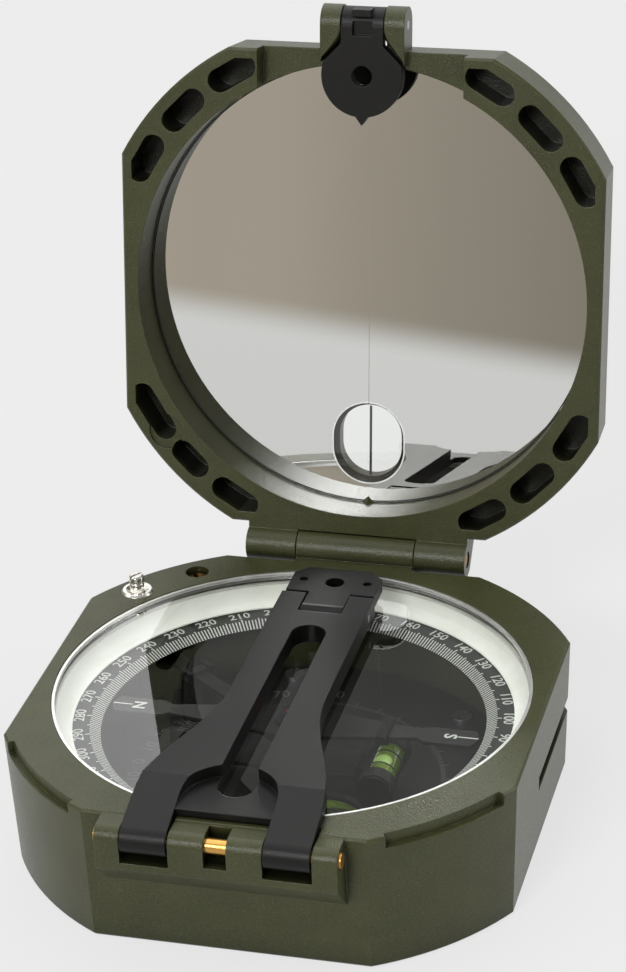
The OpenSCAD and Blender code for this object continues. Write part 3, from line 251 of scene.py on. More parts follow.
@dataclass(frozen=True)
class Moulded(Finish):
    """Moulded plastic: spark grain, soft mottling, painted shade in recesses, and edges smoothed by handling
    and lightened by wear with a painted highlight.
    """

    # The colour of the edges: real handling wear together with a painted highlight.
    worn: Colour = (130, 130, 110)
    grain: float = 0.22
    grain_bite: float = 0.3
    relief: float = 0.25
    depth: float = 0.06
    edge: float = 0.22
    edge_band: Band = (0.02, 0.3)
    # The share of that edge lightening: wear with a painted highlight.
    wear: float = 0.5
    wear_bite: float = 0.12
    rub: float = 1.6
    rub_band: Band = (0.35, 0.65)
    shine: float = 0.5
    blotch: float = 7.0
    blotch_band: Band = (0.3, 0.7)
    blotch_tones: Band = (0.88, 1.12)
    fleck: float = 0.4
    fleck_band: Band = (0.54, 0.74)
    fleck_tone: float = 2.0
    # The recess colour, its band and its reach: painted shade, darkening recesses that ambient occlusion
    # finds.
    soil: float = 0.0
    soil_band: Band = (0.3, 0.58)
    soil_tone: float = 0.12
    reach: float = 8.0

    def build(self) -> bpy.types.Material:
        """Makes the material.

        Returns:
            A plastic with grain, mottling, painted shade in its recesses, and edges lightened by wear and a
            painted highlight.
        """
        g = Graph(self.name)
        place = g.place()
        blotch = g.spread(g.noise(place, self.blotch, LAYERED), self.blotch_band)
        grain = g.noise(place, self.grain)
        rubbed = g.spread(g.noise(place, self.rub, LAYERED), self.rub_band)
        soft = g.rounded(self.edge)
        flat = g.node("NewGeometry").out("Normal")
        alike = g.node("VectorMath", {"operation": "DOT_PRODUCT"}, {0: soft, 1: flat}).out("Value")
        # Edges are lighter in rubbed patches: handling wear with a painted highlight.
        worn = g.spread(1 - alike, self.edge_band) * rubbed * self.wear
        dark, light = [linear(self.colour, tone) for tone in self.blotch_tones]
        flecked = g.spread(grain, self.fleck_band) * self.fleck
        speck = g.mix(flecked, g.mix(blotch, dark, light), linear(self.colour, self.fleck_tone))
        # Painted shade: the colour darkens where ambient occlusion finds a recess.
        deep = g.node("AmbientOcclusion", {"samples": g.RAYS}, {"Distance": self.reach * MM}).out("AO")
        shade_mask = (1 - g.spread(deep, self.soil_band)) * self.soil
        shaded_speck = g.mix(shade_mask, speck, linear(self.colour, self.soil_tone))
        bump = g.node("Bump", {}, {
            "Strength": self.relief, "Distance": self.depth * MM, "Height": grain, "Normal": soft})
        return g.surface(g.node("BsdfPrincipled", {}, {
            "Base Color": g.mix(worn, shaded_speck, linear(self.worn)),
            "Roughness": self.rough + (grain - NOISE_MEAN) * self.grain_bite - worn * self.wear_bite,
            "Normal": bump,
            "Specular IOR Level": self.shine}))


@dataclass(frozen=True)
class Metal(Finish):
    """Turned or plated metal with fine tool marks and dull patches."""

    marks: float = 0.12
    marks_run: Place = (0.15, 1.0, 1.0)
    marks_bite: float = 0.1
    relief: float = 0.12
    depth: float = 0.02
    dull: float = 0.12
    patch: float = 2.2
    patch_band: Band = (0.35, 0.7)
    patch_share: float = 0.5
    patch_tone: float = 0.8
    edge: float = 0.12

    def build(self) -> bpy.types.Material:
        """Makes the material.

        Returns:
            A metal with tool marks.
        """
        g = Graph(self.name)
        place = g.place()
        streak = g.node("Mapping", {}, {"Vector": place, "Scale": self.marks_run})
        marks = g.noise(streak, self.marks, LAYERED)
        patch = g.spread(g.noise(place, self.patch, LAYERED), self.patch_band)
        soft = g.rounded(self.edge)
        bump = g.node("Bump", {}, {
            "Strength": self.relief, "Distance": self.depth * MM, "Height": marks, "Normal": soft})
        dark = linear(self.colour, self.patch_tone)
        return g.surface(g.node("BsdfPrincipled", {}, {
            "Base Color": g.mix(patch * self.patch_share, linear(self.colour), dark),
            "Roughness": self.rough + patch * self.dull + (marks - NOISE_MEAN) * self.marks_bite,
            "Metallic": 1.0,
            "Normal": bump}))


@dataclass(frozen=True)
class Clear(Finish):
    """Clear glass: what lies behind shows through, and the surface reflects by its angle."""

    index: float = 1.5
    gloss: Paint = (0.95, 0.95, 0.95, 1.0)
    gain: float = 2.2
    smear: float = 9.0
    smear_band: Band = (0.45, 0.75)
    smear_gain: float = 0.2

    def build(self) -> bpy.types.Material:
        """Makes the material.

        Returns:
            A glass with faint smears.
        """
        g = Graph(self.name)
        smear = g.spread(g.noise(g.place(), self.smear, LAYERED), self.smear_band)
        facing = 1 - g.node("NewGeometry").out("Backfacing")
        shine = g.node("Fresnel", {}, {"IOR": self.index})
        through = g.node("BsdfTransparent", {}, {"Color": linear(self.colour)})
        gloss = g.node("BsdfGlossy", {}, {"Color": self.gloss, "Roughness": self.rough})
        factor = facing * shine * (self.gain + smear * self.smear_gain)
        return g.surface(g.node("MixShader", {}, {0: factor, 1: through, 2: gloss}))


@dataclass(frozen=True)
class Silvered(Finish):
    """The mirror: silver behind glass, with faint dust."""

    dust: float = 0.35
    dust_band: Band = (0.66, 0.8)
    dust_share: float = 0.25
    dust_tone: float = 0.9
    dust_bite: float = 0.05
    haze: float = 12.0
    haze_band: Band = (0.4, 0.75)
    haze_bite: float = 0.012

    def build(self) -> bpy.types.Material:
        """Makes the material.

        Returns:
            A mirror.
        """
        g = Graph(self.name)
        dust = g.spread(g.noise(g.place(), self.dust), self.dust_band)
        haze = g.spread(g.noise(g.place(), self.haze), self.haze_band)
        dusty = linear(self.colour, self.dust_tone)
        return g.surface(g.node("BsdfPrincipled", {}, {
            "Base Color": g.mix(dust * self.dust_share, linear(self.colour), dusty),
            "Roughness": self.rough + dust * self.dust_bite + haze * self.haze_bite,
            "Metallic": 1.0}))


@dataclass(frozen=True)
class Printed(Finish):
    """Printing ink that takes a little of the ground's tooth."""

    tooth: float = 0.12
    tooth_band: Band = (0.35, 0.7)
    tooth_share: float = 0.35
    tooth_tone: float = 0.7
    tooth_bite: float = 0.2

    def build(self) -> bpy.types.Material:
        """Makes the material.

        Returns:
            An ink.
        """
        g = Graph(self.name)
        tooth = g.noise(g.place(), self.tooth)
        thin = g.spread(tooth, self.tooth_band) * self.tooth_share
        return g.surface(g.node("BsdfPrincipled", {}, {
            "Base Color": g.mix(thin, linear(self.colour), linear(self.colour, self.tooth_tone)),
            "Roughness": self.rough + (tooth - NOISE_MEAN) * self.tooth_bite}))


@dataclass(frozen=True)
class Luminous(Finish):
    """The milky ring that glows in the dark: a waxy white with a green cast in its depth, made lighter by a
    painted glow.
    """

    deep: Colour = (228, 229, 216)
    # A painted glow: emission that makes the ring look lighter under the lamps.
    glow: float = 0.14
    cloud: float = 5.0
    cloud_band: Band = (0.3, 0.7)
    cloud_share: float = 0.6
    grain: float = 0.2
    grain_bite: float = 0.1
    relief: float = 0.06
    depth: float = 0.03

    def build(self) -> bpy.types.Material:
        """Makes the material.

        Returns:
            A waxy white with a painted glow.
        """
        g = Graph(self.name)
        place = g.place()
        cloud = g.spread(g.noise(place, self.cloud, LAYERED), self.cloud_band)
        grain = g.noise(place, self.grain)
        bump = g.node("Bump", {}, {"Strength": self.relief, "Distance": self.depth * MM, "Height": grain})
        return g.surface(g.node("BsdfPrincipled", {}, {
            "Base Color": g.mix(cloud * self.cloud_share, linear(self.colour), linear(self.deep)),
            "Roughness": self.rough + (grain - NOISE_MEAN) * self.grain_bite,
            "Normal": bump,
            # Painted glow.
            "Emission Color": linear(self.colour),
            "Emission Strength": self.glow}))


@dataclass(frozen=True)
class Liquid(Finish):
    """The levels' tinted spirit, brighter in random clouds, with a painted glow."""

    bright: Colour = (206, 232, 70)
    # The strength of a painted glow: emission that makes the liquid look lighter under the lamps.
    lit: float = 0.2
    coat: float = 0.4
    cloud: float = 2.4
    cloud_band: Band = (0.3, 0.7)

    def build(self) -> bpy.types.Material:
        """Makes the material.

        Returns:
            A tinted liquid with a painted glow.
        """
        g = Graph(self.name)
        cloud = g.spread(g.noise(g.place(), self.cloud), self.cloud_band)
        return g.surface(g.node("BsdfPrincipled", {}, {
            "Base Color": g.mix(cloud, linear(self.colour), linear(self.bright)),
            "Roughness": self.rough,
            # Painted glow.
            "Emission Color": linear(self.colour),
            "Emission Strength": self.lit,
            "Coat Weight": self.coat}))


class Shop(Enum):
    """The finishes that the compass wears."""

    # OLIVE and CHARCOAL paint shade into their recesses; every moulded finish lightens its edges by wear with
    # a painted highlight.
    OLIVE = Moulded(
        "olive_plastic", (59, 61, 36), 0.33, worn=(122, 124, 96),
        relief=0.8, shine=0.3, fleck=0.7, soil=0.95)
    CHARCOAL = Moulded(
        "charcoal_plastic", (14, 14, 13), 0.42, worn=(74, 74, 72),
        grain=0.18, relief=0.35, shine=0.24, soil=0.7)
    BLACK = Moulded("dial_black", (22, 22, 21), 0.5, worn=(50, 50, 48), grain=0.14, relief=0.12, wear=0.3)
    BLACK_STEEL = Metal("black_steel", (44, 44, 44), 0.42)
    SCALE = Moulded("scale_grey", (38, 39, 38), 0.55, worn=(70, 70, 68), grain=0.12, relief=0.1, wear=0.3)
    GLOW = Luminous("glow_white", (248, 248, 243), 0.34)
    BRASS = Metal("brass", (208, 160, 88), 0.28)
    CHROME = Metal("chrome", (234, 232, 224), 0.22, dull=0.08)
    SATIN = Metal("satin_chrome", (240, 240, 236), 0.36)
    STEEL = Metal("steel", (168, 170, 174), 0.28)
    GLASS = Clear("clear_glass", (254, 255, 254), 0.0)
    MIRROR = Silvered("mirror_glass", (216, 217, 214), 0.012)
    RUBBER = Moulded(
        "gasket_clear", (214, 214, 206), 0.5, worn=(224, 224, 218), grain=0.1, relief=0.1, wear=0.2)
    # The spirit, the bubbles and the ruby all carry a painted glow.
    SPIRIT = Liquid("level_liquid", (104, 134, 32), 0.16, bright=(152, 172, 54), lit=0.16)
    BUBBLE = Liquid("level_bubble", (150, 190, 92), 0.1, bright=(196, 220, 140), lit=0.24)
    RUBY = Liquid("ruby", (150, 30, 56), 0.12, bright=(190, 60, 84))
    LINE = Printed("line_black", (16, 16, 17), 0.5)
    WHITE_INK = Printed("white_ink", (222, 224, 218), 0.6)
    GREY_INK = Printed("grey_ink", (96, 98, 94), 0.6)
    ETCH = Printed("etched_line", (152, 150, 145), 0.6)
    GROUND = Printed("ground_edge", (240, 242, 240), 0.45)

    def material(self) -> bpy.types.Material:
        """Gives the finish's material, made once."""
        return bpy.data.materials.get(self.value.name + "_finish") or self.make()

    def make(self) -> bpy.types.Material:
        """Makes the finish's material under its own name.

        Returns:
            The material.
        """
        made = self.value.build()
        made.name = self.value.name + "_finish"
        return made


class Bench:
    """The modelling moves that the sub-assemblies share, each one of Blender's own operators."""

    # A capital's share of the font's size, and the steps of its curves.
    LETTER_SHARE = 0.72
    LETTER_STEPS = 3

    # The faces round bubbles and rings, the distance in metres within which points are one,
    # and the angle up to which an edge is smooth.
    DROP_SIDES = 32
    DROP_RINGS = 16
    RING_SIDES = 96
    WELD = 0.000001
    SMOOTH = math.radians(40)

    @staticmethod
    def clear() -> None:
        """Deselects everything."""
        bpy.ops.object.select_all(action="DESELECT")

    @staticmethod
    def name(piece: str) -> bpy.types.Object:
        """Names the active object and its data.

        Args:
            piece: The name.

        Returns:
            The object.
        """
        made = bpy.context.active_object
        made.name = piece
        made.data.name = piece
        return made

    @staticmethod
    def settle(made: bpy.types.Object) -> bpy.types.Object:
        """Puts an object's place, turn and size into its mesh.

        Args:
            made: The object.

        Returns:
            The same object, at the origin.
        """
        Bench.clear()
        made.select_set(True)
        bpy.context.view_layer.objects.active = made
        bpy.ops.object.transform_apply(location=True, rotation=True, scale=True)
        return made

    @staticmethod
    def join(piece: str, parts: list[bpy.types.Object]) -> bpy.types.Object:
        """Joins meshes into one piece.

        Args:
            piece: The name of the piece.
            parts: The meshes, each at the origin.

        Returns:
            The one piece.
        """
        Bench.clear()
        for part in parts:
            part.select_set(True)
        bpy.context.view_layer.objects.active = parts[0]
        bpy.ops.object.join()
        return Bench.name(piece)

    @staticmethod
    def polar(radius: float, degree: float, height: float) -> Place:
        """Gives the place at a radius, an angle from X and a height."""
        plan = math.radians(degree)
        return (radius * math.cos(plan), radius * math.sin(plan), height)

    @staticmethod
    def word(text: str, size: float, at: Place, turn: float, bold: float = 0.0) -> bpy.types.Object:
        """Sets one printed number or letter.

        Args:
            text: The number or letter.
            size: Its height, in millimetres.
            at: The place of its middle, in millimetres.
            turn: Its turn about Z, in degrees.
            bold: The width that its strokes gain, in millimetres.

        Returns:
            The letter as a mesh at the origin.
        """
        Bench.clear()
        bpy.ops.object.text_add(location=ORIGIN)
        made = bpy.context.active_object
        made.data.body = text
        made.data.size = size * MM / Bench.LETTER_SHARE
        made.data.align_x = "CENTER"
        made.data.align_y = "CENTER"
        made.data.extrude = INK * MM / 2
        made.data.offset = bold * MM / 2
        made.data.resolution_u = Bench.LETTER_STEPS
        bpy.ops.object.convert(target="MESH")
        made = bpy.context.active_object
        made.location = Vector(at) * MM
        made.rotation_euler = (0, 0, math.radians(turn))
        return Bench.settle(made)

    @staticmethod
    def bar(piece: str, low: Place, high: Place) -> bpy.types.Object:
        """Makes a flat printed bar between two corners.

        Args:
            piece: Its name.
            low: Its lowest corner, in millimetres.
            high: Its highest corner, in millimetres.

        Returns:
            The bar at the origin.
        """
        Bench.clear()
        span = [high[i] - low[i] for i in range(3)]
        bpy.ops.mesh.primitive_plane_add(size=1, location=ORIGIN)
        made = Bench.name(piece)
        bpy.ops.object.mode_set(mode="EDIT")
        bpy.ops.mesh.select_all(action="SELECT")
        bpy.ops.transform.resize(value=(span[0] * MM, span[1] * MM, 1))
        bpy.ops.transform.translate(value=[(low[i] + high[i]) / 2 * MM for i in range(2)] + [low[2] * MM])
        bpy.ops.mesh.extrude_region_move(TRANSFORM_OT_translate={"value": (0, 0, span[2] * MM)})
        bpy.ops.mesh.select_all(action="SELECT")
        bpy.ops.mesh.normals_make_consistent(inside=False)
        bpy.ops.object.mode_set(mode="OBJECT")
        return made

    @staticmethod
    def fan(made: bpy.types.Object, count: int, span: float = FULL) -> bpy.types.Object:
        """Repeats a mesh round the Z axis.

        Args:
            made: The mesh, at its first place.
            count: How many there are in all.
            span: The angle that they cover, in degrees.

        Returns:
            The same object.
        """
        step = span / count if span >= FULL else span / (count - 1)
        angle = math.radians(step * (count - 1))
        Bench.clear()
        made.select_set(True)
        bpy.context.view_layer.objects.active = made
        bpy.ops.object.mode_set(mode="EDIT")
        bpy.ops.mesh.select_all(action="SELECT")
        bpy.ops.mesh.spin(steps=count - 1, dupli=True, angle=angle, center=ORIGIN, axis=UP)
        bpy.ops.object.mode_set(mode="OBJECT")
        return made

    @staticmethod
    def hoop(
        piece: str, radius: float, width: float, low: float, thick: float, steps: int = RING_SIDES
    ) -> bpy.types.Object:
        """Makes a flat ring round the Z axis.

        Args:
            piece: Its name.
            radius: Its inner radius, in millimetres.
            width: Its width.
            low: The height of its lower face.
            thick: Its thickness.
            steps: The faces round it.

        Returns:
            The ring at the origin.
        """
        Bench.clear()
        bpy.ops.mesh.primitive_plane_add(size=1, location=ORIGIN, rotation=(math.pi / 2, 0, 0))
        made = Bench.name(piece)
        made.location = ((radius + width / 2) * MM, 0, (low + thick / 2) * MM)
        made.scale = (width * MM, thick * MM, 1)
        Bench.settle(made)
        bpy.ops.object.mode_set(mode="EDIT")
        bpy.ops.mesh.select_all(action="SELECT")
        bpy.ops.mesh.spin(steps=steps, dupli=False, angle=math.tau, center=ORIGIN, axis=UP)
        bpy.ops.mesh.select_all(action="SELECT")
        bpy.ops.mesh.remove_doubles(threshold=Bench.WELD)
        bpy.ops.mesh.delete_loose()
        bpy.ops.mesh.select_all(action="SELECT")
        bpy.ops.mesh.normals_make_consistent(inside=False)
        bpy.ops.object.mode_set(mode="OBJECT")
        return made

    @staticmethod
    def drop(piece: str, at: Place, radii: Place, flat: float) -> bpy.types.Object:
        """Makes an air bubble: a drop flattened where it lies against the glass.

        Args:
            piece: Its name.
            at: Its middle, in millimetres.
            radii: Its half sizes.
            flat: The share of its upper half that the glass flattens.

        Returns:
            The bubble at the origin.
        """
        Bench.clear()
        bpy.ops.mesh.primitive_uv_sphere_add(
            segments=Bench.DROP_SIDES, ring_count=Bench.DROP_RINGS, radius=1.0, location=ORIGIN)
        made = Bench.name(piece)
        bpy.ops.object.mode_set(mode="EDIT")
        bpy.ops.mesh.select_all(action="SELECT")
        bpy.ops.mesh.bisect(plane_co=(0, 0, 1 - flat), plane_no=UP, clear_outer=True, use_fill=True)
        bpy.ops.object.mode_set(mode="OBJECT")
        made.scale = Vector(radii) * MM
        made.location = Vector(at) * MM
        Bench.settle(made)
        bpy.ops.object.shade_smooth_by_angle(angle=Bench.SMOOTH)
        return made

    @staticmethod
    def finish(made: bpy.types.Object, finish: Shop, slot: str, body: str) -> bpy.types.Object:
        """Dresses a new piece and sets it on the body that carries it.

        Args:
            made: The piece, in place.
            finish: Its finish.
            slot: The record's slot that the finish belongs to. Not used.
            body: The body that it rides on.

        Returns:
            The piece.
        """
        made.data.materials.clear()
        made.data.materials.append(finish.material())
        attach(made, body)
        log.info("piece %s rides on %s", made.name, body)
        return made

    @staticmethod
    def dress(finish: Shop, *nodes: str) -> None:
        """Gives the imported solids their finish.

        Args:
            finish: The finish.
            nodes: The names of the solids' nodes.
        """
        for node in nodes:
            solid = frame["nodes"][node]
            solid.data.materials.clear()
            solid.data.materials.append(finish.material())
            log.info("solid %s in %s", node, finish.value.name)


@dataclass
class CaseGroup:
    """The moulded case with its pins, crystal, luminous ring and lift."""

    def build(self) -> None:
        """Dresses the case's solids."""
        Bench.dress(Shop.OLIVE, "case_body")
        Bench.dress(Shop.BLACK, "base_plate")
        Bench.dress(Shop.BRASS, "lid_hinge_pin", "arm_hinge_pin", "spindle_bush", "declination_screw")
        Bench.dress(Shop.BLACK_STEEL, "lever_bracket", "lift_ring", "lift_lever")
        Bench.dress(Shop.CHROME, "lift_pin_bush", "lift_pin")
        Bench.dress(Shop.SATIN, "crystal_ring")
        Bench.dress(Shop.STEEL, "plate_screws", "lever_pivot_pin")
        Bench.dress(Shop.GLOW, "glow_ring")
        Bench.dress(Shop.RUBBER, "crystal_gasket")
        Bench.dress(Shop.GLASS, "crystal")


@dataclass
class LiftSpring:
    """The coil under the lift pin's collar, which shortens as the pin goes down; this one keeps its length.

    Its radii are in millimetres.
    """

    coil_r: float = 1.475
    wire_r: float = 0.14
    turns: int = 2
    steps: int = 48
    sides: int = 12

    def coil(self, low: Vector, high: Vector) -> bpy.types.Object:
        """Winds the wire.

        Args:
            low: The lowest corner of the spring's space, in metres.
            high: Its highest corner.

        Returns:
            One closed tube, in place.
        """
        Bench.clear()
        wire = self.wire_r * MM
        bpy.ops.mesh.primitive_circle_add(
            vertices=self.sides, radius=wire, location=ORIGIN, rotation=(math.pi / 2, 0, 0))
        made = Bench.name("lift_spring_coil")
        made.location = (self.coil_r * MM, 0, 0)
        Bench.settle(made)
        wind = made.modifiers.new("wind", "SCREW")
        wind.angle = math.tau * self.turns
        wind.screw_offset = high.z - low.z - 2 * wire
        wind.steps = self.steps
        wind.render_steps = self.steps
        bpy.ops.object.modifier_apply(modifier=wind.name)
        bpy.ops.object.mode_set(mode="EDIT")
        bpy.ops.mesh.select_all(action="DESELECT")
        bpy.ops.mesh.select_non_manifold()
        bpy.ops.mesh.fill_holes(sides=0)
        bpy.ops.mesh.select_all(action="SELECT")
        bpy.ops.mesh.normals_make_consistent(inside=False)
        bpy.ops.object.mode_set(mode="OBJECT")
        middle = (low + high) / 2
        made.rotation_euler = (0, 0, math.atan2(middle.y, middle.x))
        made.location = (middle.x, middle.y, low.z + wire)
        Bench.settle(made)
        bpy.ops.object.shade_smooth_by_angle(angle=Bench.SMOOTH)
        return made

    def build(self) -> None:
        """Winds the spring in place of the solid one; its length does not follow the pin's travel."""
        low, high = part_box("lift_spring")
        made = Bench.finish(self.coil(low, high), Shop.STEEL, "steel", "case")
        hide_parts("lift_spring")
        slide = next(joint for joint in frame["joints"] if joint["name"] == "lift_pin_slide")
        keep = 1 + min(slide["range_m"]) / (high.z - low.z)
        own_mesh(made)


@dataclass
class AzimuthDial:
    """The azimuth ring and its printing: a line each degree and a number each ten.

    Sizes are in millimetres. Long lines are given by their count round the ring and their length.
    """

    edge_r: float = 28.75
    number_r: float = 30.3
    number_h: float = 1.55
    number_bold: float = 0.04
    ground_z: float = 15.8
    bevel_w: float = 1.5
    bevel_h: float = 0.774
    line_w: float = 0.2
    tens: int = 36
    long_lines: tuple[tuple[int, float], ...] = ((72, 0.35), (36, 0.6))

    def lines(self) -> bpy.types.Object:
        """Makes the degree lines, on the ring's inner bevel and each five degrees on the flat beyond it.

        Returns:
            One mesh with all the lines.
        """
        half = self.line_w / 2
        slope = math.hypot(self.bevel_w, self.bevel_h)
        short = Bench.bar("degree_lines", (-slope, -half, 0), (0, half, INK))
        short.rotation_euler = (0, -math.atan2(self.bevel_h, self.bevel_w), 0)
        short.location = Vector((self.edge_r, 0, self.ground_z)) * MM
        parts = [Bench.fan(Bench.settle(short), FULL)]
        for count, length in self.long_lines:
            low = (self.edge_r, -half, self.ground_z)
            high = (self.edge_r + length, half, self.ground_z + INK * self.tens / count)
            parts.append(Bench.fan(Bench.bar(f"line_{count}", low, high), count))
        return Bench.join("azimuth_lines", parts)

    def numbers(self) -> bpy.types.Object:
        """Sets the numbers, read from outside the ring.

        Returns:
            One mesh with all the numbers.
        """
        parts = []
        for degree in range(0, FULL, FULL // self.tens):
            at = Bench.polar(self.number_r, degree - QUARTER, self.ground_z + INK / 2)
            parts.append(Bench.word(str(degree), self.number_h, at, degree - HALF, self.number_bold))
        return Bench.join("azimuth_numbers", parts)

    def build(self) -> None:
        """Dresses the ring and prints it."""
        Bench.dress(Shop.SCALE, "azimuth_ring")
        Bench.finish(self.lines(), Shop.WHITE_INK, "glow_white", "azimuth")
        Bench.finish(self.numbers(), Shop.WHITE_INK, "glow_white", "azimuth")


@dataclass
class Needle:
    """The needle with its letters and the pointing lines at both tips. Sizes are in millimetres."""

    top_z: float = 15.2
    letter_r: float = 22.6
    letter_h: float = 1.8
    letter_bold: float = 0.14
    letter_gap: float = 1.15
    tip_r: float = 26.6
    line_w: float = 0.22

    def build(self) -> None:
        """Dresses the needle and prints its letters and lines."""
        Bench.dress(Shop.BLACK, "needle_blade")
        Bench.dress(Shop.BLACK_STEEL, "needle_hub", "needle_balance")
        Bench.dress(Shop.RUBY, "needle_jewel")
        half = self.line_w / 2
        parts = []
        for side, letter in ((-1, "N"), (1, "S")):
            at = (side * self.letter_r, 0, self.top_z + INK / 2)
            parts.append(Bench.word(letter, self.letter_h, at, side * -QUARTER, self.letter_bold))
            left, right = sorted((side * (self.letter_r + self.letter_gap), side * self.tip_r))
            high = (right, half, self.top_z + THICK_INK)
            parts.append(Bench.bar("tip_line", (left, -half, self.top_z), high))
        Bench.finish(Bench.join("needle_letters", parts), Shop.WHITE_INK, "glow_white", "needle")


@dataclass
class Clinometer:
    """The slope scale on the base plate, the vernier that turns over it and the tube level.

    Sizes are in millimetres and spans in degrees. The slope's lines are given by their count,
    length and half width, and the vernier's by their length and half width.
    """

    plate_z: float = 5.6
    scale_r: float = 20.6
    slope_lines: tuple[tuple[int, float, float], ...] = ((181, 0.7, 0.06), (19, 1.4, 0.1))
    number_r: float = 23.4
    number_h: float = 1.9
    number_step: int = 10
    vernier_z: float = 9.2
    vernier_r: float = 19.0
    vernier_line: tuple[float, float] = (1.6, 0.07)
    vernier_count: int = 13
    vernier_span: float = 24.0
    tube: Place = (13.9, -4.0, 11.1)
    tube_r: float = 2.3
    tube_gap: float = 0.005
    tube_steps: int = 48
    tube_line_y: float = 1.6
    tube_line_w: float = 0.3
    bubble: Place = (1.3, 1.5, 0.6)
    bubble_up: float = 1.45
    bubble_flat: float = 0.25

    def scale(self) -> bpy.types.Object:
        """Prints the slope scale, from 0 in the middle to 90 each way.

        Returns:
            One mesh with its lines and numbers.
        """
        parts = []
        for count, length, half in self.slope_lines:
            high = (self.scale_r + length, half, self.plate_z + THICK_INK)
            bar = Bench.bar(f"slope_{count}", (self.scale_r, -half, self.plate_z), high)
            Bench.fan(bar, count, HALF)
            bar.rotation_euler = (0, 0, math.radians(QUARTER))
            parts.append(Bench.settle(bar))
        for degree in range(-QUARTER, QUARTER + 1, self.number_step):
            at = Bench.polar(self.number_r, HALF + degree, self.plate_z + INK)
            parts.append(Bench.word(str(abs(degree)), self.number_h, at, degree + QUARTER))
        return Bench.join("slope_scale", parts)

    def vernier(self) -> bpy.types.Object:
        """Prints the vernier's lines.

        Returns:
            One mesh.
        """
        length, half = self.vernier_line
        low = (self.vernier_r - length, -half, self.vernier_z)
        bar = Bench.bar("vernier_lines", low, (self.vernier_r, half, self.vernier_z + THICK_INK))
        Bench.fan(bar, self.vernier_count, self.vernier_span)
        bar.rotation_euler = (0, 0, math.radians(HALF - self.vernier_span / 2))
        return Bench.settle(bar)

    def tube_lines(self) -> bpy.types.Object:
        """Makes the two lines round the tube.

        Returns:
            One mesh with both rings.
        """
        radius = self.tube_r + self.tube_gap
        parts = []
        for side in (-1, 1):
            low = side * self.tube_line_y - self.tube_line_w / 2
            ring = Bench.hoop("tube_line", radius, THICK_INK, low, self.tube_line_w, self.tube_steps)
            ring.rotation_euler = (math.radians(QUARTER), 0, 0)
            ring.location = Vector(self.tube) * MM
            parts.append(Bench.settle(ring))
        return Bench.join("tube_lines", parts)

    def build(self) -> None:
        """Dresses the clinometer, prints its scales and fills its level."""
        Bench.dress(Shop.STEEL, "clinometer_spindle", "lever_screw", "pivot_point")
        Bench.dress(Shop.BLACK, "vernier_arm", "level_holder", "thumb_lever")
        Bench.dress(Shop.GLASS, "tube_glass")
        Bench.dress(Shop.SPIRIT, "tube_liquid")
        Bench.dress(Shop.BLACK_STEEL, "tube_caps")
        Bench.finish(self.scale(), Shop.GREY_INK, "glow_white", "case")
        Bench.finish(self.vernier(), Shop.GREY_INK, "glow_white", "clinometer")
        Bench.finish(self.tube_lines(), Shop.LINE, "line_black", "clinometer")
        x, y, z = self.tube
        bubble = Bench.drop("tube_bubble", (x, y, z + self.bubble_up), self.bubble, self.bubble_flat)
        Bench.finish(bubble, Shop.BUBBLE, "level_liquid", "clinometer")


@dataclass
class RoundLevel:
    """The round level in front of the needle. Sizes are in millimetres."""

    place: tuple[float, float] = (7.0, -13.0)
    glass_z: float = 7.9
    ring_r: float = 2.6
    ring_w: float = 0.25
    ring_steps: int = 64
    bubble: Place = (2.1, 2.1, 0.45)
    bubble_z: float = 7.25
    bubble_flat: float = 0.3

    def ring(self) -> bpy.types.Object:
        """Prints the centring ring on the glass.

        Returns:
            The ring, in place.
        """
        ring = Bench.hoop("round_level_ring", self.ring_r, self.ring_w, self.glass_z, INK, self.ring_steps)
        ring.location = Vector((*self.place, 0)) * MM
        return Bench.settle(ring)

    def build(self) -> None:
        """Dresses the round level, prints its ring and sets its bubble."""
        Bench.dress(Shop.BLACK, "round_level_cup")
        Bench.dress(Shop.SPIRIT, "round_level_liquid")
        Bench.dress(Shop.GLASS, "round_level_glass")
        Bench.finish(self.ring(), Shop.LINE, "line_black", "case")
        bubble = Bench.drop("round_bubble", (*self.place, self.bubble_z), self.bubble, self.bubble_flat)
        Bench.finish(bubble, Shop.BUBBLE, "level_liquid", "case")


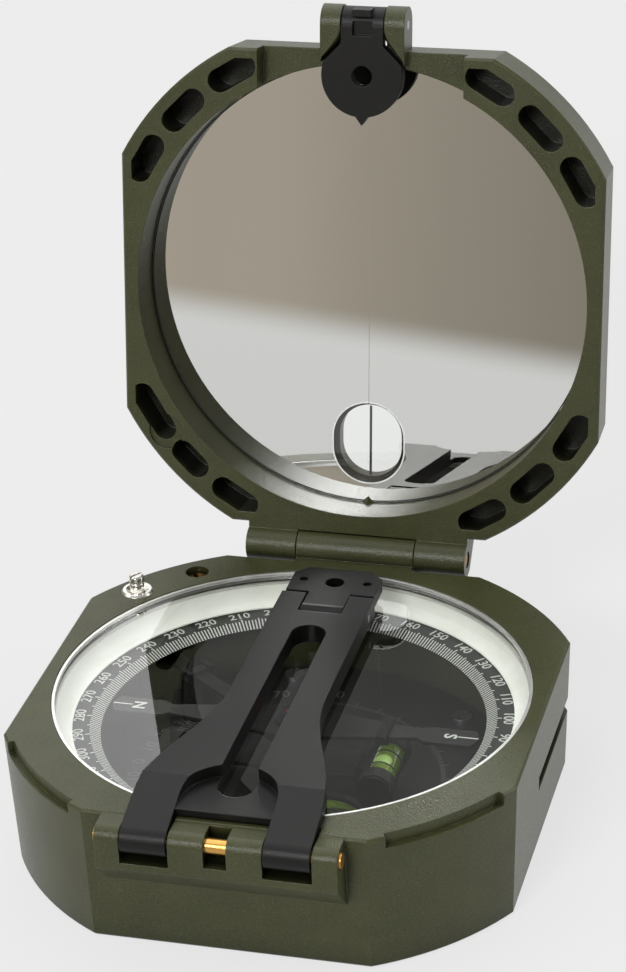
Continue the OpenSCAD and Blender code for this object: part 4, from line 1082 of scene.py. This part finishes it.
@dataclass
class MirrorLid:
    """The lid with its mirror, its sight window and the line down the mirror.

    Sizes are in millimetres, in the closed lid. The hinge is its pin's Y and Z.
    The opening is in degrees.
    """

    hinge: tuple[float, float] = (39.4, 21.5)
    opening: float = 99.2
    mirror_z: float = 27.9
    mirror_r: float = 33.8
    edge_in: float = 0.35
    edge_w: float = 0.2
    edge_steps: int = 128
    window: tuple[float, float] = (10.8, 12.5)
    window_y: float = 24.4
    line: tuple[float, float] = (-22.0, 18.3)
    line_w: float = 0.08
    ground_w: float = 0.22

    def open(self, made: bpy.types.Object) -> bpy.types.Object:
        """Turns a piece made in the closed lid to the lid's place at rest.

        Args:
            made: The piece, at its place in the closed lid.

        Returns:
            The piece, with its place in its mesh.
        """
        pin = Vector((0, *self.hinge)) * MM
        turn = Matrix.Rotation(math.radians(-self.opening), 4, "X")
        made.matrix_world = Matrix.Translation(pin) @ turn @ Matrix.Translation(-pin)
        return Bench.settle(made)

    def window_edge(self) -> bpy.types.Object:
        """Makes the pale ground edge of the mirror's glass round the window.

        Returns:
            An oval ring in the closed lid.
        """
        width, height = self.window
        ring = Bench.hoop("window_edge", width / 2, self.ground_w, self.mirror_z - INK, INK)
        ring.rotation_euler = (0, 0, math.pi / Bench.RING_SIDES)
        Bench.settle(ring)
        for corner in ring.data.vertices:
            corner.co.y += math.copysign((height - width) / 2 * MM, corner.co.y)
        ring.location = Vector((0, self.window_y, 0)) * MM
        return Bench.settle(ring)

    def build(self) -> None:
        """Dresses the lid and draws the mirror's line, its black edge and the window's pale one."""
        Bench.dress(Shop.OLIVE, "lid_shell")
        Bench.dress(Shop.MIRROR, "mirror_glass")
        Bench.dress(Shop.GLASS, "sight_window")
        Bench.dress(Shop.LINE, "sight_hairline")
        Bench.dress(Shop.STEEL, "front_sight_pin")
        low = self.mirror_z - INK
        start, end = self.line
        half = self.line_w / 2
        line = Bench.bar("mirror_line", (-half, start, low), (half, end, self.mirror_z))
        Bench.finish(self.open(line), Shop.ETCH, "line_black", "lid")
        edge = Bench.hoop("mirror_edge", self.mirror_r - self.edge_in, self.edge_w, low, INK, self.edge_steps)
        Bench.finish(self.open(edge), Shop.LINE, "line_black", "lid")
        Bench.finish(self.open(self.window_edge()), Shop.GROUND, "clear_glass", "lid")


@dataclass
class Sights:
    """The sight arm, the peep sight and the front sight's leaf."""

    def build(self) -> None:
        """Dresses the sights."""
        Bench.dress(Shop.CHARCOAL, "sight_arm", "peep_sight", "front_sight")
        Bench.dress(Shop.STEEL, "peep_pin")


@dataclass(frozen=True)
class Lamp:
    """A soft flat lamp: its place in metres, its width and height, and its power in watts."""

    name: str
    place: Place
    size: tuple[float, float]
    power: float

    def hang(self, target: Vector) -> None:
        """Hangs the lamp and turns it to the object.

        Args:
            target: The point that it faces.
        """
        Bench.clear()
        bpy.ops.object.light_add(type="AREA", location=self.place)
        made = Bench.name(self.name)
        made.data.shape = "ELLIPSE"
        made.data.size, made.data.size_y = self.size
        made.data.energy = self.power
        made.rotation_euler = (target - Vector(self.place)).to_track_quat("-Z", "Y").to_euler()


@dataclass
class Studio:
    """The table, the dim room that the mirror looks into, soft light and the camera.

    Places are in metres. The table's fibres and the room's folds are in millimetres.
    """

    table: Colour = (226, 226, 225)
    table_size: float = 8.0
    table_low: float = 0.00005
    table_rough: float = 0.6
    fibre: float = 1.2
    fibre_layers: float = 4.0
    fibre_share: float = 0.04
    fibre_tone: float = 0.9
    backdrop: Colour = (234, 234, 234)
    veil: float = 0.85
    edge: tuple[tuple[float, float], tuple[float, float]] = ((-0.185, -0.496), (-0.041, -0.400))
    fade: float = 0.075
    room: Colour = (157, 149, 137)
    room_tones: Band = (0.66, 1.6)
    room_side: Band = (-0.34, -0.02)
    side_share: float = 0.85
    fold: float = 90.0
    fold_layers: float = 1.0
    fold_run: Place = (1.0, 1.0, 0.1)
    fold_band: Band = (0.3, 0.7)
    fold_share: float = 0.15
    wall_at: Place = (-0.2, -0.85, -0.1)
    wall_size: Place = (2.2, 1.0, 1.0)
    wall_turn: float = 12
    eye: Place = (0.107426, -0.368767, 0.248950)
    lens: float = 117.83
    sensor: float = 36.0
    near: float = 0.01
    shift: tuple[float, float] = (0.0570, 0.0644)
    right: Place = (0.9634210872752808, 0.2635658236019136, -0.048506342083909984)
    down: Place = (0.0836341201726948, -0.4676547878778331, -0.8799456422517691)
    ahead: Place = (-0.25460782104298285, 0.8437014021583609, -0.4725915799712904)
    surround: float = 0.36
    target: Place = (0, 0.01, 0.03)
    lamps: list[Lamp] = field(default_factory=lambda: [
        Lamp("key_lamp", (-1.0, -0.35, 0.9), (0.8, 0.8), 1.8),
        Lamp("top_lamp", (-0.2, 0.25, 1.2), (1.6, 1.6), 10.0),
        Lamp("rim_lamp", (0.95, 0.35, 0.5), (0.6, 0.6), 4.0),
        Lamp("back_lamp", (-0.3, 1.1, 0.85), (2.2, 1.4), 7.3),
        Lamp("front_lamp", (-0.13, -0.715, 0.49), (0.3, 0.26), 4.0),
    ])

    def camera(self) -> None:
        """Sets the camera where the photograph was taken."""
        Bench.clear()
        bpy.ops.object.camera_add(location=ORIGIN)
        made = Bench.name("camera")
        axes = [Vector(self.right), -Vector(self.down), -Vector(self.ahead)]
        turn = Matrix([[axis[i] for axis in axes] for i in range(3)]).to_4x4()
        made.matrix_world = Matrix.Translation(Vector(self.eye)) @ turn
        made.data.sensor_width = self.sensor
        made.data.lens = self.lens
        made.data.shift_x, made.data.shift_y = self.shift
        made.data.clip_start = self.near
        bpy.context.scene.camera = made

    def paper(self) -> bpy.types.Material:
        """Makes the table's pale paper, which is the backdrop too.

        Returns:
            A dull material, evened out where it is the backdrop, with an edge that the mirror shows.
        """
        g = Graph("table_paper")
        place = g.place()
        fibre = g.noise(place, self.fibre, self.fibre_layers) * self.fibre_share
        colour = g.mix(fibre, linear(self.table), linear(self.table, self.fibre_tone))
        lit = g.node("BsdfDiffuse", {}, {"Color": colour, "Roughness": self.table_rough})
        glow = g.node("Emission", {}, {"Color": linear(self.backdrop), "Strength": 1.0})
        path = g.node("LightPath")
        looked = path.out("Is Camera Ray")
        seen = g.node("Clamp", {}, {0: looked + path.out("Is Glossy Ray") + path.out("Is Transmission Ray")})
        even = g.node("MixShader", {}, {0: seen * self.veil, 1: lit, 2: glow})
        a, b = [Vector(p) for p in self.edge]
        along = (b - a).normalized()
        split = g.node("SeparateXYZ", {}, {0: place})
        inward = (split.out("X") - a.x) * -along.y + (split.out("Y") - a.y) * along.x
        cover = g.node("Clamp", {}, {0: g.spread(inward, (0.0, self.fade), "SMOOTHSTEP") + looked})
        bare = g.node("BsdfTransparent", {}, {"Color": (1.0, 1.0, 1.0, 1.0)})
        return g.surface(g.node("MixShader", {}, {0: cover, 1: bare, 2: even}))

    def dim_room(self) -> bpy.types.Material:
        """Makes the room's blurred wall.

        Returns:
            A glow with soft upright folds, paler to the left.
        """
        g = Graph("dim_room")
        place = g.place()
        run = g.node("Mapping", {}, {"Vector": place, "Scale": self.fold_run})
        folds = g.spread(g.noise(run, self.fold, self.fold_layers), self.fold_band)
        across = g.node("SeparateXYZ", {}, {0: place}).out("X")
        side = 1 - g.spread(across, self.room_side, "SMOOTHSTEP")
        pale = g.node("Clamp", {}, {0: side * self.side_share + folds * self.fold_share})
        colour = g.mix(pale, *[linear(self.room, tone) for tone in self.room_tones])
        return g.surface(g.node("Emission", {}, {"Color": colour, "Strength": 1.0}))

    def floor(self) -> None:
        """Lays the table, and hangs the room's wall beyond its front edge."""
        Bench.clear()
        bpy.ops.mesh.primitive_plane_add(size=self.table_size, location=ORIGIN)
        table = Bench.name("table")
        table.location = (0, 0, -self.table_low)
        Bench.settle(table)
        table.data.materials.append(self.paper())
        Bench.clear()
        bpy.ops.mesh.primitive_plane_add(size=1.0, location=ORIGIN)
        wall = Bench.name("room_wall")
        wall.scale = self.wall_size
        wall.location = self.wall_at
        wall.rotation_euler = (math.pi / 2, 0, math.radians(self.wall_turn))
        Bench.settle(wall)
        wall.data.materials.append(self.dim_room())
        wall.visible_camera = False
        wall.visible_diffuse = False
        wall.visible_shadow = False

    def light(self) -> None:
        """Lights the table with soft lamps and a pale surround."""
        for lamp in self.lamps:
            lamp.hang(Vector(self.target))
        world = bpy.data.worlds.new("surround")
        bpy.context.scene.world = world
        world.use_nodes = True
        shown = world.node_tree.nodes["Background"]
        shown.inputs["Color"].default_value = linear(self.backdrop)
        shown.inputs["Strength"].default_value = self.surround

    def build(self) -> None:
        """Builds the studio."""
        self.camera()
        self.floor()
        self.light()
        bpy.context.scene.view_settings.view_transform = "Standard"


def main() -> None:
    """Builds the compass and its studio in order."""
    logging.basicConfig(level=logging.INFO, format="%(message)s")
    Bench.clear()
    groups = (
        Studio(), CaseGroup(), LiftSpring(), AzimuthDial(), Needle(),
        Clinometer(), RoundLevel(), MirrorLid(), Sights())
    for group in groups:
        group.build()
        log.info("built %s", type(group).__name__)


if __name__ == "__main__":
    main()
